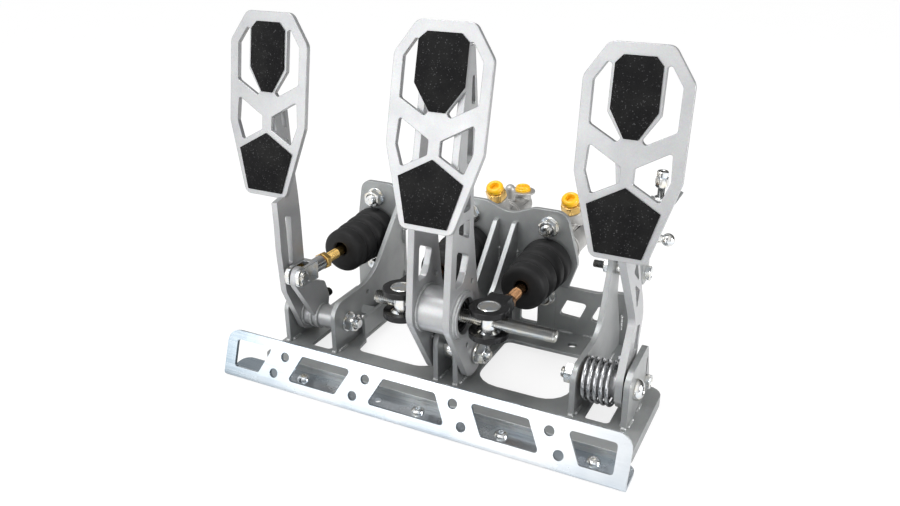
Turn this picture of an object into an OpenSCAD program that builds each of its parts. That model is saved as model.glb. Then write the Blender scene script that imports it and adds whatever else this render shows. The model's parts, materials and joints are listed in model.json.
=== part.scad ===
// Three-pedal floor unit for a driving simulator: clutch, brake and throttle on one steel tray,
// with hydraulic cylinders on the clutch and the brake and a separate heel plate in front.
// Frame: +X to the driver's right, +Y forward, away from the driver, +Z up, floor at z = 0.
// Origin: on the floor, in the tray's middle plane, on the line of the heel plate's floor screws.

/* [Heel plate] */
// Width of the heel plate
heel_w = 305; // [295:1:330]
// Distance of its middle from the tray's middle, to the left
heel_offset = 6.2; // [0:0.1:8]
// Height of its face, along the slope
heel_face_h = 36.5; // [34:0.5:45]
// Lean of the face, away from upright
heel_lean = 20; // [10:1:25]
// Sheet thickness of the heel plate
heel_t = 2.5; // [2:0.25:3]
// Depth of the floor flange, front to back
heel_flange_d = 27; // [24:1:34]
// From the screw row to the flange's back edge
heel_screw_back = 8; // [7:0.5:10]
// Pitch of the hole pairs in the face
heel_hole_pitch = 67; // [62:1:68]
// Diameter of those holes
heel_hole_d = 7; // [5:0.5:8]
// Shank diameter of the floor screws
heel_screw_d = 5; // [4:0.5:6]

/* [Tray] */
// Width of the tray
tray_w = 284; // [283:1:296]
// Depth of the tray from its front lip to the cylinder wall
tray_d = 131.5; // [128:0.5:140]
// Height of the tray above the floor
tray_h = 8.5; // [8:0.5:14]
// Sheet thickness of the tray
tray_t = 3; // [2:0.5:4]
// Diameter of the tray's mounting holes
mount_hole_d = 6.6; // [5:0.1:8]
// Distance between the two mounting holes
mount_dx = 128; // [120:1:132]

/* [Brackets] */
// Thickness of the pivot brackets
bracket_t = 4; // [3:0.5:4.5]
// Height of the pivots of clutch and brake
pivot_z = 28; // [27:0.5:32]
// Distance of all the pivots from the tray's front lip
pivot_from_lip = 42; // [40:0.5:44]
// Height of the throttle pivot
throttle_pivot_z = 30; // [28:0.5:32]
// Diameter of the pivot bolts
pivot_d = 8; // [6:0.5:8]
// Thickness of the cylinder wall and mount plates
wall_t = 4; // [3:0.5:5]

/* [Pedal plates] */
// Thickness of the arm plates
arm_t = 5; // [4:0.25:5]
// Thickness of the foot plates
face_t = 4; // [3:0.5:5]
// Height of the foot plates
face_h = 130; // [125:1:140]
// Width of the clutch and throttle foot plates
face_w = 66; // [62:1:70]
// Width of the brake foot plate
brake_face_w = 68.5; // [64:0.5:72]
// Thickness of the grip pads
grip_t = 1.2; // [0.8:0.1:2]
// Distance between the two brake arms
brake_span = 22.5; // [22:0.5:26]
// Outer diameter of the pivot tubes
pivot_tube_d = 18; // [16:0.5:20]
// Outer diameter of the pivot bushes
bush_d = 12; // [10:0.5:13]

/* [Balance bar] */
// Thread diameter of the balance bar
bar_d = 9.5; // [8:0.5:10]
// Length of the balance bar
bar_l = 134; // [128:1:140]
// Outer diameter of the tube that carries it
bias_tube_d = 32; // [30:0.5:33]
// Bore of that tube
bias_bore_d = 25.5; // [23:0.5:26]
// Diameter of the clevis trunnions
trunnion_d = 16; // [14:0.5:17]
// Height of the brake clevises
fork_h = 22; // [20:0.5:24]
// Radius of the round clevis ears
fork_r = 13.5; // [12:0.25:13.5]

/* [Cylinders] */
// Distance between the two bolts of a cylinder flange
flange_pitch = 57.15; // [56:0.05:60]
// Bore of the master cylinders
bore_d = 19.05; // [15.9:0.05:20.6]
// Height of the cylinder axes above the floor
cylinder_z = 67; // [65:0.5:68]
// Length of a cylinder behind the wall
cylinder_l = 120.5; // [114:0.5:130]
// Outer diameter of a cylinder barrel
barrel_d = 27; // [26:0.5:30]
// Diameter of the push rods
rod_d = 8; // [6:0.5:8]
// Radius of a boot at its small end
boot_r_small = 17.2; // [16:0.1:18]
// Radius of a boot at the wall
boot_r_large = 19.7; // [18.5:0.1:19.7]

/* [Throttle spring] */
// Wire diameter of the return spring
spring_wire = 3; // [2:0.25:3.2]
// Mean radius of its coils
spring_r = 14.2; // [13:0.1:15]
// Number of turns
spring_turns = 5; // [3:1:5]
// Pitch of the turns
spring_pitch = 4.1; // [3.9:0.1:4.2]

/* [Travel] */
// Travel of the clutch pedal in degrees
clutch_travel = 18; // [10:1:18]
// Travel of the brake pedal in degrees
brake_travel = 14; // [8:1:14]
// Travel of the throttle pedal in degrees
throttle_travel = 18; // [10:1:20]

/* [Hidden] */
$fn = 48;

// Paint and metal colours
paint = "#9a9da0";
zinc = "#c9d0d4";
cast = "#b3b1ac";
rubber = "#26272a";
grip = "#1c1c1e";
gold = "#c9a04a";
yellow = "#f2c11c";
black = "#17181a";

// Running fits and gaps
fit = 0.05;
side_gap = 1.5;
bolt_play = 0.2;
weld = 3.2;

// Places that follow from the sizes
lip_y = heel_screw_back;
heel_y = heel_screw_back - heel_flange_d;
wall_y = lip_y + tray_d;
pivot_y = lip_y + pivot_from_lip;
foot_y = pivot_y - 17;
bracket_top = pivot_z + 19.5;
nut_w = 1.625 * pivot_d;
washer_t = 1.6;
washer_r = pivot_d;
hub_r = 14;

// Plates of the clutch, brake and throttle along X, each given by its left side
clutch_arm_x = -133.2;
clutch_left_x = clutch_arm_x - side_gap - bracket_t;
clutch_right_x = -96.2;
clutch_x = -117.7;
brake_left_arm_x = -brake_span / 2 - arm_t;
brake_right_arm_x = brake_span / 2;
brake_left_x = brake_left_arm_x + arm_t + side_gap;
brake_right_x = brake_right_arm_x - side_gap - bracket_t;
brake_mid_x = (brake_left_arm_x + brake_right_arm_x + arm_t) / 2;
throttle_left_x = 91.8;
throttle_right_x = 127.8;
throttle_arm_x = throttle_right_x - side_gap - arm_t;
clevis_xs = [brake_left_arm_x - 0.5 - fork_r, brake_right_arm_x + arm_t + 6 + fork_r];
cylinder_xs = clevis_xs;
bar_y = pivot_y - 22.2;
bar_z = pivot_z + 41;
bar_x0 = -51;
pin_y = pivot_y - 24;
pin_z = pivot_z + 43;
boot_l = 55.5;
ball_r = 5;
ball_y = wall_y - 5.5;
tray_ext_y = lip_y + 84;
wall_right = 106;
tray_left = tray_w / 2;
tray_right = tray_w / 2;

// Foot plates: place of the bottom edge's middle on the front side, and lean from upright
clutch_face_at = [-146.4, pivot_y - 16.3, pivot_z + 98.6];
clutch_lean = 10.3;
brake_face_at = [brake_mid_x, pivot_y - 42.5, pivot_z + 105.7];
brake_lean = 14.4;
throttle_face_at = [114.9, pivot_y - 9.4, throttle_pivot_z + 92.7];
throttle_lean = 7.8;

// Points of an outline with rounded corners, from [x, y, radius] rows
function unit(v) = v / norm(v);
function corner(a, b, c, r, n) =
    let (u = unit(a - b), w = unit(c - b), half = acos(u * w) / 2,
         d = min(r / tan(half), 0.48 * norm(a - b), 0.48 * norm(c - b)),
         rr = d * tan(half), mid = b + unit(u + w) * rr / sin(half),
         p = b + u * d, q = b + w * d,
         a0 = atan2(p.y - mid.y, p.x - mid.x), a1 = atan2(q.y - mid.y, q.x - mid.x),
         turn = (a1 - a0 + 540) % 360 - 180)
    [for (i = [0 : n]) mid + rr * [cos(a0 + turn * i / n), sin(a0 + turn * i / n)]];
function rounded(rows, n = 5) =
    [for (i = [0 : len(rows) - 1])
        let (a = rows[(i + len(rows) - 1) % len(rows)], b = rows[i], c = rows[(i + 1) % len(rows)])
        each (b.z > 0 ? corner([a.x, a.y], [b.x, b.y], [c.x, c.y], b.z, n) : [[b.x, b.y]])];

// Outline of a link: two round ends joined by their outer tangents
function link(c1, r1, c2, r2, n = 12) =
    let (d = norm(c2 - c1), dir = atan2(c2.y - c1.y, c2.x - c1.x), t = acos((r1 - r2) / d))
    concat([for (i = [0 : n]) let (a = dir + t + (360 - 2 * t) * i / n) c1 + r1 * [cos(a), sin(a)]],
           [for (i = [0 : n]) let (a = dir - t + 2 * t * i / n) c2 + r2 * [cos(a), sin(a)]]);
function mirrored(rows) = [for (i = [len(rows) - 1 : -1 : 0]) [-rows[i].x, rows[i].y, rows[i].z]];

// A plate that stands along Y: outline in (y, z), thickness along X from x0
module side_plate(x0, t) {
    translate([x0, 0, 0]) rotate([90, 0, 90]) linear_extrude(t) children();
}
// A plate that stands along X: outline in (x, z), thickness along Y from y0
module cross_plate(y0, t) {
    translate([0, y0 + t, 0]) rotate([90, 0, 0]) linear_extrude(t) children();
}
module along_x(x0, l, r) { translate([x0, 0, 0]) rotate([0, 90, 0]) cylinder(h = l, r = r); }
module along_y(y0, l, r) { translate([0, y0, 0]) rotate([-90, 0, 0]) cylinder(h = l, r = r); }
module hex_x(x0, l, af) { translate([x0, 0, 0]) rotate([0, 90, 0]) cylinder(h = l, r = af / sqrt(3), $fn = 6); }
module hex_y(y0, l, af) { translate([0, y0, 0]) rotate([-90, 0, 0]) cylinder(h = l, r = af / sqrt(3), $fn = 6); }
module hex_z(z0, l, af) { translate([0, 0, z0]) cylinder(h = l, r = af / sqrt(3), $fn = 6); }
module ring_x(x0, l, r, bore) {
    difference() {
        along_x(x0, l, r);
        along_x(x0 - 1, l + 2, bore);
    }
}
module ring_y(y0, l, r, bore) {
    difference() {
        along_y(y0, l, r);
        along_y(y0 - 1, l + 2, bore);
    }
}

// Tray outline, pulled in by d all round
function tray_rows(d) = [
    [-tray_left + d, lip_y + d, 6 - d / 2], [tray_right - d, lip_y + d, 6 - d / 2],
    [tray_right - d, tray_ext_y - d, 10 - d], [wall_right - d, tray_ext_y - d, 6 + d],
    [wall_right - d, wall_y - d, 0], [-tray_left + d, wall_y - d, 0]];
cut_y0 = lip_y + 36;
cut_y1 = wall_y - 29.5;
rail_right = brake_right_x + bracket_t + 5;
rail_left = brake_left_x - 6.5;
cut_a_x0 = clutch_right_x + bracket_t + 5.9;
cut_b_x1 = throttle_left_x - 8;
fold_y = cut_y0 + 20;
fold_h = 16;
cut_a = [[cut_a_x0 + 4.5, cut_y0, 8], [rail_left, cut_y0, 16], [rail_left, cut_y1, 8],
         [cut_a_x0, cut_y1, 8], [cut_a_x0, fold_y, 0.6], [cut_a_x0 + 3.1, fold_y - 3, 1]];
cut_b = [[rail_right, cut_y0, 20], [cut_b_x1, cut_y0, 18], [cut_b_x1, cut_y1, 6], [rail_right, cut_y1, 5]];
cut_c = [[clutch_x, foot_y + 3, 3], [clutch_right_x - 4, foot_y + 3, 3],
         [clutch_right_x - 4, pivot_y + 48, 3], [clutch_x, pivot_y + 48, 3]];
cut_d = [[throttle_left_x + 10.5, foot_y + 2, 3], [throttle_left_x + 27.5, foot_y + 2, 3],
         [throttle_left_x + 27.5, pivot_y + 30, 3], [throttle_left_x + 10.5, pivot_y + 30, 3]];
mount_y = wall_y - 16.5;

module base_frame() {
    color(paint) difference() {
        translate([0, 0, tray_h - tray_t]) linear_extrude(tray_t) difference() {
            polygon(rounded(tray_rows(0)));
            for (c = [cut_a, cut_b, cut_c, cut_d]) polygon(rounded(c));
        }
        for (x = [-mount_dx / 2, mount_dx / 2])
            translate([x, mount_y, tray_h - tray_t - 1]) cylinder(h = tray_t + 2, r = mount_hole_d / 2);
    }
}
// The tray's folds: its rim down to the floor, and the flange that stands up along the left window
module tray_folds() {
    color(paint) {
        linear_extrude(tray_h - tray_t) difference() {
            polygon(rounded(tray_rows(0)));
            polygon(rounded(tray_rows(tray_t)));
        }
        side_plate(cut_a_x0 - tray_t, tray_t) polygon(rounded([
            [fold_y + 0.6, tray_h, 0], [fold_y + 0.6, tray_h + fold_h, 2],
            [cut_y1 - 9, tray_h + fold_h, 2], [cut_y1 - 9, tray_h, 0]]));
    }
}

// Heel plate: a folded sheet with slanted windows and pairs of round holes
heel_half = heel_w / 2;
heel_bend = 5.5;
heel_win_v = [9.4, heel_face_h - 6.7];
heel_wins = [
    [-19.8, 19.8, 30, -30],
    [45.4, 86.2, 96.3, 56], [-86.2, -45.4, -56, -96.3],
    [112.1, heel_half - 8.7, heel_half - 8.7, 122.1],
    [-heel_half + 8.7, -112.1, -122.1, -heel_half + 8.7]];
heel_screw_xs = [-93.6, 1.7, 64.1, 127];
heel_free_hole_x = -30.1;
module in_heel_face() {
    translate([0, heel_y, 0]) rotate([90 - heel_lean, 0, 0]) children();
}
module heel_plate() {
    inner_s = heel_t * (1 + sin(heel_lean)) / cos(heel_lean);
    bend_v = 8;
    color(zinc) translate([-heel_offset, 0, 0]) difference() {
        union() {
            in_heel_face() translate([0, 0, -heel_t]) linear_extrude(heel_t) polygon(rounded([
                [-heel_half, bend_v, 0], [heel_half, bend_v, 0],
                [heel_half, heel_face_h, 9.5], [-heel_half, heel_face_h, 9.5]]));
            side_plate(-heel_half, heel_w) polygon(rounded([
                [heel_y, 0, heel_bend], [heel_y + 14, 0, 0], [heel_y + 14, heel_t, 0],
                [heel_y + heel_t * cos(heel_lean) + inner_s * sin(heel_lean), heel_t, heel_bend - heel_t],
                [heel_y + heel_t * cos(heel_lean) + bend_v * sin(heel_lean),
                 bend_v * cos(heel_lean) - heel_t * sin(heel_lean), 0],
                [heel_y + bend_v * sin(heel_lean), bend_v * cos(heel_lean), 0]]));
            linear_extrude(heel_t) polygon(rounded([
                [-heel_half, heel_y + 12, 0], [heel_half, heel_y + 12, 0],
                [heel_half, lip_y, 8], [-heel_half, lip_y, 8]]));
        }
        in_heel_face() for (w = heel_wins)
            translate([0, 0, -heel_t - 1]) linear_extrude(heel_t + 2) polygon(rounded([
                [w[0], heel_win_v[1], 2.2], [w[1], heel_win_v[1], 2.2],
                [w[2], heel_win_v[0], 2.2], [w[3], heel_win_v[0], 2.2]], 4));
        in_heel_face() for (s = [-1, 1], i = [0, 1]) {
            translate([s * heel_hole_pitch * (i + 0.5), 25.8, -heel_t - 1])
                cylinder(h = heel_t + 2, r = heel_hole_d / 2);
            translate([s * (heel_hole_pitch * (i + 0.5) + 8.2), 12.2, -heel_t - 1])
                cylinder(h = heel_t + 2, r = heel_hole_d / 2);
        }
        for (x = concat(heel_screw_xs, [heel_free_hole_x]))
            translate([x, 0, -1]) cylinder(h = heel_t + 2, r = heel_screw_d / 2 + bolt_play);
    }
}
module heel_plate_screws() {
    color(zinc) for (x = heel_screw_xs) translate([x - heel_offset, 0, 0]) {
        cylinder(h = heel_t, r = heel_screw_d / 2);
        translate([0, 0, heel_t]) cylinder(h = 2.6, r1 = 0.95 * heel_screw_d, r2 = 0.7 * heel_screw_d);
    }
}

// Brackets: outlines in (y, z)
sweep_z = cylinder_z + 29.5;
swept_rows = [
    [foot_y, tray_h, 0], [foot_y, bracket_top, 12],
    [wall_y - (sweep_z - bracket_top) - 1, bracket_top, 42], [wall_y - 4, sweep_z - 2, 2],
    [wall_y, sweep_z - 1, 0], [wall_y, tray_h, 0]];
ear_rows = [
    [foot_y, tray_h, 0], [foot_y, pivot_z + 16, 10],
    [pivot_y + 15, pivot_z + 16, 12], [pivot_y + 22, tray_h, 0]];
column_top = cylinder_z + 51;
column_rows = [
    [foot_y, tray_h, 0], [foot_y, throttle_pivot_z + 14, 10], [pivot_y + 36, throttle_pivot_z + 14, 24],
    [pivot_y + 54, cylinder_z + 18, 30], [pivot_y + 57, column_top, 4], [pivot_y + 75, column_top, 4],
    [pivot_y + 74, cylinder_z - 8, 20], [wall_y, tray_h + 12, 0], [wall_y, tray_h, 0]];
throttle_ear_rows = [
    [foot_y, tray_h, 0], [foot_y, throttle_pivot_z + 13, 9], [pivot_y - 8, throttle_pivot_z + 18, 8],
    [pivot_y + 27, throttle_pivot_z + 20, 5], [pivot_y + 41, tray_h, 0]];
stop_y = pivot_y + 27;
stop_z = throttle_pivot_z - 9;
link_bolt_y = pivot_y + 66;
link_bolt_z = cylinder_z + 16.5;

module bracket(x0, rows, z) {
    color(paint) difference() {
        side_plate(x0, bracket_t) polygon(rounded(rows, 7));
        translate([0, pivot_y, z]) along_x(x0 - 1, bracket_t + 2, pivot_d / 2 + bolt_play);
        children();
    }
}
module swept_bracket(x0, window) {
    bracket(x0, swept_rows, pivot_z) {
        translate([0, pivot_y + 30, bracket_top - 8]) along_x(x0 - 1, bracket_t + 2, 2);
        side_plate(x0 - 1, bracket_t + 2) polygon(rounded(window));
    }
}
clutch_window = [
    [pivot_y + 20, tray_h + 5, 2], [pivot_y + 20, tray_h + 25, 3], [pivot_y + 53, tray_h + 5, 3]];
brake_window = [
    [wall_y - 44, tray_h + 7.5, 4], [wall_y - 11, tray_h + 7.5, 4],
    [wall_y - 11, tray_h + 39, 4], [wall_y - 27, tray_h + 22.5, 4]];
module clutch_bracket_left() { bracket(clutch_left_x, ear_rows, pivot_z); }
module clutch_bracket_right() { swept_bracket(clutch_right_x, clutch_window); }
module brake_bracket_left() { swept_bracket(brake_left_x, brake_window); }
module brake_bracket_right() { swept_bracket(brake_right_x, brake_window); }
module throttle_bracket_left() {
    bracket(throttle_left_x, column_rows, throttle_pivot_z)
        translate([0, link_bolt_y, link_bolt_z]) along_x(throttle_left_x - 1, bracket_t + 2, 3 + bolt_play);
}
module throttle_bracket_right() {
    bracket(throttle_right_x, throttle_ear_rows, throttle_pivot_z) {
        translate([0, stop_y, stop_z]) along_x(throttle_right_x - 1, bracket_t + 2, 3 + bolt_play);
        side_plate(throttle_right_x - 1, bracket_t + 2) polygon(rounded([
            [stop_y - 1.2, throttle_pivot_z - 3, 1], [stop_y + 1.2, throttle_pivot_z - 3, 1],
            [stop_y + 1.2, throttle_pivot_z + 10, 1], [stop_y - 1.2, throttle_pivot_z + 10, 1]]));
    }
}

// Mount plates: outlines in (x, z)
ear_r = 13;
ear_top = cylinder_z + flange_pitch / 2 + ear_r;
brake_plate_left = cylinder_xs[0] - 24;
brake_plate_right = cylinder_xs[1] + 24;
wall_h = tray_h + 39;
wall_left = brake_right_arm_x + 31.8;
brake_plate_rows = [
    [brake_plate_left, 0, 0], [brake_plate_left, cylinder_z, 20],
    [cylinder_xs[0] - ear_r, ear_top, 10], [cylinder_xs[0] + ear_r, ear_top, 14],
    [(cylinder_xs[0] + cylinder_xs[1]) / 2, ear_top - 8, 22],
    [cylinder_xs[1] - ear_r, ear_top, 14], [cylinder_xs[1] + ear_r, ear_top, 10],
    [brake_plate_right, cylinder_z + 2, 14], [brake_plate_right - 7, wall_h, 0],
    [wall_left, wall_h, 0], [wall_left, 0, 0]];
module cylinder_holes(x) {
    translate([x, 0, cylinder_z]) {
        along_y(wall_y - 1, wall_t + 2, nose_r + 0.3);
        for (s = [-1, 1]) translate([0, 0, s * flange_pitch / 2])
            along_y(wall_y - 1, wall_t + 2, 4 + bolt_play);
    }
}
module brake_mount_plate() {
    color(paint) difference() {
        cross_plate(wall_y, wall_t) difference() {
            polygon(rounded(brake_plate_rows, 7));
            polygon(rounded([
                [rail_right - 1, tray_h + 2, 2], [rail_right + 13.5, tray_h + 2, 2],
                [rail_right + 13.5, tray_h + 20, 2], [rail_right - 1, tray_h + 20, 2]]));
            polygon(rounded([
                [brake_plate_left + 6, tray_h + 2, 2], [rail_left - 2, tray_h + 2, 2],
                [rail_left - 2, tray_h + 17, 2], [brake_plate_left + 6, tray_h + 17, 2]]));
        }
        for (x = cylinder_xs) cylinder_holes(x);
    }
}
clutch_plate_left = clutch_x - 20;
clutch_plate_right = clutch_right_x + bracket_t;
module clutch_mount_plate() {
    color(paint) difference() {
        cross_plate(wall_y, wall_t) polygon(rounded([
            [clutch_plate_left - 1, 0, 0], [clutch_plate_left, cylinder_z, 18],
            [clutch_x - ear_r, ear_top, 9], [clutch_x + ear_r, ear_top, 12],
            [clutch_plate_right, ear_top - 5, 4], [clutch_plate_right, 0, 0]], 7));
        cylinder_holes(clutch_x);
    }
}
wall_win_x0 = wall_left + 3;
wall_win_pitch = 25.6;
module rear_wall() {
    color(paint) cross_plate(wall_y, wall_t) difference() {
        polygon(rounded([
            [wall_left, 0, 0], [wall_right, 0, 0], [wall_right, wall_h + 5, 4],
            [brake_plate_right + 27, wall_h + 3, 12], [brake_plate_right + 17, wall_h, 12],
            [wall_left, wall_h, 0]], 6));
        for (i = [0 : 1]) let (x = wall_win_x0 + wall_win_pitch * i)
            polygon(rounded([
                [x, tray_h + 14.5, 2], [x + 16.8, tray_h + 13.5, 2],
                [x + 22.7, wall_h - 11, 2], [x + 6.2, wall_h - 10.7, 2]], 4));
    }
}

// Bolt along X with its head at one end and washer and nut at the other
module cross_bolt(x0, x1, d, head_left) {
    w = 1.625 * d;
    color(zinc) {
        along_x(head_left ? x0 : x0 - washer_t - 0.8 * d - 3, head_left ? x1 - x0 + washer_t + 0.8 * d + 3
                : x1 - x0 + washer_t + 0.8 * d + 3, d / 2);
        hex_x(head_left ? x0 - 0.65 * d : x1, 0.65 * d, w);
        difference() {
            hex_x(head_left ? x1 + washer_t : x0 - washer_t - 0.8 * d, 0.8 * d, w);
            along_x(x0 - 30, x1 - x0 + 60, d / 2);
        }
        ring_x(head_left ? x1 : x0 - washer_t, washer_t, d, d / 2);
    }
}
module clutch_pivot_bolt() {
    translate([0, pivot_y, pivot_z])
        cross_bolt(clutch_left_x, clutch_right_x + bracket_t, pivot_d, true);
}
module brake_pivot_bolt() {
    translate([0, pivot_y, pivot_z]) {
        cross_bolt(brake_left_arm_x - 0.4, brake_right_arm_x + arm_t + 0.4, pivot_d, true);
        color(zinc) ring_x(brake_left_x + bracket_t, brake_right_x - brake_left_x - bracket_t,
                           pivot_tube_d / 2, pivot_d / 2);
    }
}
module throttle_pivot_bolt() {
    translate([0, pivot_y, throttle_pivot_z])
        cross_bolt(throttle_left_x, throttle_right_x + bracket_t, pivot_d, false);
}

// Master cylinders
nose_r = 14;
nose_l = 8;
flange_t = 8;
barrel_l = cylinder_l - 36.5;
bore_end = barrel_l - 16;
port_y = wall_y + 64.5;
port_tilt = 28;
tower_h = 28.5;
post_y = wall_y + barrel_l - 4.5;
post_h = 23;
end_disc_r = 11;
end_disc_t = 2;
port_end_y = wall_y + cylinder_l - end_disc_r;
end_port_z = barrel_d / 2 - 3;
// The inlet leans back towards the pedals
module in_inlet(x) {
    translate([x, port_y, cylinder_z]) rotate([port_tilt, 0, 0]) children();
}
module in_outlet(x) {
    translate([x, port_end_y, cylinder_z + end_port_z]) children();
}
module cylinder_at(x) {
    color(cast) difference() {
        union() {
            translate([x, 0, cylinder_z]) {
                along_y(wall_y - nose_l, nose_l + wall_t, nose_r);
                difference() {
                    cross_plate(wall_y + wall_t, flange_t) {
                        polygon(link([0, flange_pitch / 2], 9.5, [0, 0], 18.5));
                        polygon(link([0, -flange_pitch / 2], 9.5, [0, 0], 18.5));
                    }
                    for (s = [-1, 1]) translate([0, 0, s * flange_pitch / 2])
                        along_y(wall_y, wall_t + flange_t + 2, 4 + bolt_play);
                }
                along_y(wall_y + wall_t, barrel_l - wall_t, barrel_d / 2);
                along_y(wall_y + 29, 4, barrel_d / 2 + 1.5);
                along_y(wall_y + barrel_l - 12, 4, barrel_d / 2 + 1.5);
                translate([0, post_y, 0]) cylinder(h = post_h, r = 4.4);
                translate([0, post_y, post_h]) sphere(r = 4.4);
                along_y(wall_y + barrel_l - 1, port_end_y - wall_y - barrel_l + 4, barrel_d / 2 - 5);
            }
            in_inlet(x) cylinder(h = tower_h, r = 8.5);
            in_outlet(x) {
                translate([0, 0, -end_port_z - 11]) cylinder(h = end_port_z + 11, r = 7.5);
                cylinder(h = end_disc_t, r = end_disc_r);
            }
        }
        translate([x, 0, cylinder_z]) along_y(wall_y - nose_l - 1, nose_l + 1 + bore_end, bore_d / 2);
        in_inlet(x) translate([0, 0, tower_h - 8]) cylinder(h = 9, r = 4.2);
        in_outlet(x) translate([0, 0, end_disc_t - 6]) cylinder(h = 7, r = 3.2);
    }
}
module clutch_cylinder() { cylinder_at(clutch_x); }
module brake_cylinder_left() { cylinder_at(cylinder_xs[0]); }
module brake_cylinder_right() { cylinder_at(cylinder_xs[1]); }
all_cylinder_xs = [clutch_x, cylinder_xs[0], cylinder_xs[1]];
module cylinder_bolts() {
    color(zinc) for (x = all_cylinder_xs, s = [-1, 1])
        translate([x, 0, cylinder_z + s * flange_pitch / 2]) {
            along_y(wall_y - washer_t - 6.4 - 3, washer_t + 6.4 + 3 + wall_t + flange_t, 4);
            hex_y(wall_y + wall_t + flange_t, 5.2, 13);
            ring_y(wall_y - washer_t, washer_t, 8, 4);
            difference() {
                hex_y(wall_y - washer_t - 6.4, 6.4, 13);
                along_y(wall_y - 20, 22, 4);
            }
        }
}
union_h = 9;
module port_unions() {
    color(gold) for (x = all_cylinder_xs) in_inlet(x) {
        hex_z(tower_h, union_h, 15);
        translate([0, 0, tower_h - 6]) cylinder(h = 6, r = 4.1);
    }
}
module port_plugs() {
    color(yellow) for (x = all_cylinder_xs) {
        in_inlet(x) translate([0, 0, tower_h + union_h]) difference() {
            rotate_extrude() polygon([[0, 0], [6.6, 0], [7.3, 1], [7.3, 3.6], [6, 5], [0, 5]]);
            translate([0, 0, 1.5]) cylinder(h = 6, r = 3.2);
        }
        in_outlet(x) translate([0, 0, end_disc_t]) difference() {
            rotate_extrude() polygon([[0, 0], [7, 0], [7, 1.8], [6.4, 2.4], [6.4, 3.6], [5.4, 4.6], [0, 4.6]]);
            translate([0, 0, 1.4]) cylinder(h = 6, r = 3.4);
        }
    }
}

// Rubber boots: a turned bellows wall from the wall to the small end, with the rod's hole in its end
lobes = 4;
boot_wall = 1.6;
function boot_r(t) = boot_r_small + (boot_r_large - boot_r_small) * t;
function boot_outer(l) = [for (i = [0 : lobes - 1]) each
    let (r0 = boot_r(i / (lobes - 1)), w = l / lobes, z = l - i * w)
    [[r0 - (i == 0 ? 1 : 2.4), z], [r0, z - (i == 0 ? 1.2 : 0.26 * w)],
     [r0 + 0.4, z - 0.7 * w], [r0 - 1, z - 0.9 * w]]];
// shift is the rod's place in the end face, measured from the axis
module boot(x, l, shift) {
    outer = boot_outer(l);
    n = len(outer);
    color(rubber) translate([x, wall_y, cylinder_z]) difference() {
        rotate([90, 0, 0]) rotate_extrude() polygon(concat(
            [[0, l]], outer,
            [[boot_r_large - 1, 0.3], [nose_r + 0.3, 0.3], [nose_r + 0.3, nose_l + 1]],
            [for (i = [n - 1 : -1 : 1]) if (outer[i].y > nose_l + 1.5)
                [outer[i].x - boot_wall, min(outer[i].y - 0.2, l - boot_wall)]],
            [[0, l - boot_wall]]));
        translate([shift.x, 0, shift.y]) along_y(-l - 1, boot_wall + 2, rod_d / 2 + 0.4);
    }
}
// Offset of a rod's line from the cylinder's axis at the boot's end face
function rod_shift(from, to) = (wall_y - boot_l - to.y) / (from.y - to.y) * [from.x - to.x, from.z - to.z];
module clutch_boot() { boot(clutch_x, boot_l, rod_shift(clutch_pin, clutch_ball)); }
module brake_boot_left() { boot(cylinder_xs[0], boot_l, rod_shift(brake_from(0), brake_ball(0))); }
module brake_boot_right() { boot(cylinder_xs[1], boot_l, rod_shift(brake_from(1), brake_ball(1))); }

// Pistons and push rods
piston_l = 40;
socket_r = ball_r + 1.2;
module piston_at(x) {
    y0 = ball_y - 3;
    color(cast) translate([x, 0, cylinder_z]) difference() {
        along_y(y0, piston_l, bore_d / 2 - fit);
        along_y(y0 - 1, 1 + 3 + ball_r + 0.35, socket_r);
        ring_y(y0 + 14, 3, bore_d, bore_d / 2 - 1.5);
        ring_y(y0 + piston_l - 8, 3, bore_d, bore_d / 2 - 1.5);
    }
}
module clutch_piston() { piston_at(clutch_x); }
module brake_piston_left() { piston_at(cylinder_xs[0]); }
module brake_piston_right() { piston_at(cylinder_xs[1]); }

// A rod from a point on the pedal to the ball in the piston, with its jam nut
module aimed(from, to) {
    translate(from) rotate([atan2(to.z - from.z, to.y - from.y), 0, 0]) children();
}
module push_rod(from, to, start, nut_at) {
    l = norm(to - from);
    aimed(from, to) {
        color(gold) along_y(start, l - start, rod_d / 2);
        color(gold) difference() {
            hex_y(nut_at, 5, 1.625 * rod_d);
            along_y(nut_at - 1, 7, rod_d / 2);
        }
        color(gold) translate([0, l, 0]) sphere(r = ball_r);
    }
}
clutch_pin = [clutch_x, pin_y, pin_z];
clutch_ball = [clutch_x, ball_y, cylinder_z];
clutch_fork_l = 30;
module clutch_push_rod() { push_rod(clutch_pin, clutch_ball, clutch_fork_l, clutch_fork_l + 1); }
lug_t = 5;
fork_gap = 0.4;
fork_wall = 3.2;
fork_w = lug_t + 2 * fork_gap + 2 * fork_wall;
module clutch_clevis() {
    h = 14;
    color(zinc) aimed(clutch_pin, clutch_ball) difference() {
        union() {
            side_plate(-fork_w / 2, fork_w) polygon(rounded([
                [-7, -h / 2, 5], [18, -h / 2, 0.6], [18, h / 2, 0.6], [-7, h / 2, 5]]));
            along_y(18, clutch_fork_l - 18, 5.6);
        }
        translate([-lug_t / 2 - fork_gap, -9, -h]) cube([lug_t + 2 * fork_gap, 9 + 13, 2 * h]);
        along_x(-fork_w, 2 * fork_w, 4);
        along_y(12, clutch_fork_l, rod_d / 2);
    }
}
module clutch_clevis_pin() {
    color(zinc) aimed(clutch_pin, clutch_ball) {
        along_x(-fork_w / 2 - 0.2, fork_w + 0.4, 4);
        ring_x(-fork_w / 2 - 2.2, 2.2, 5.6, 1.5);
        ring_x(fork_w / 2, 1.2, 6, 2.4);
        along_x(fork_w / 2, 1.6, 2.4);
    }
}

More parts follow.
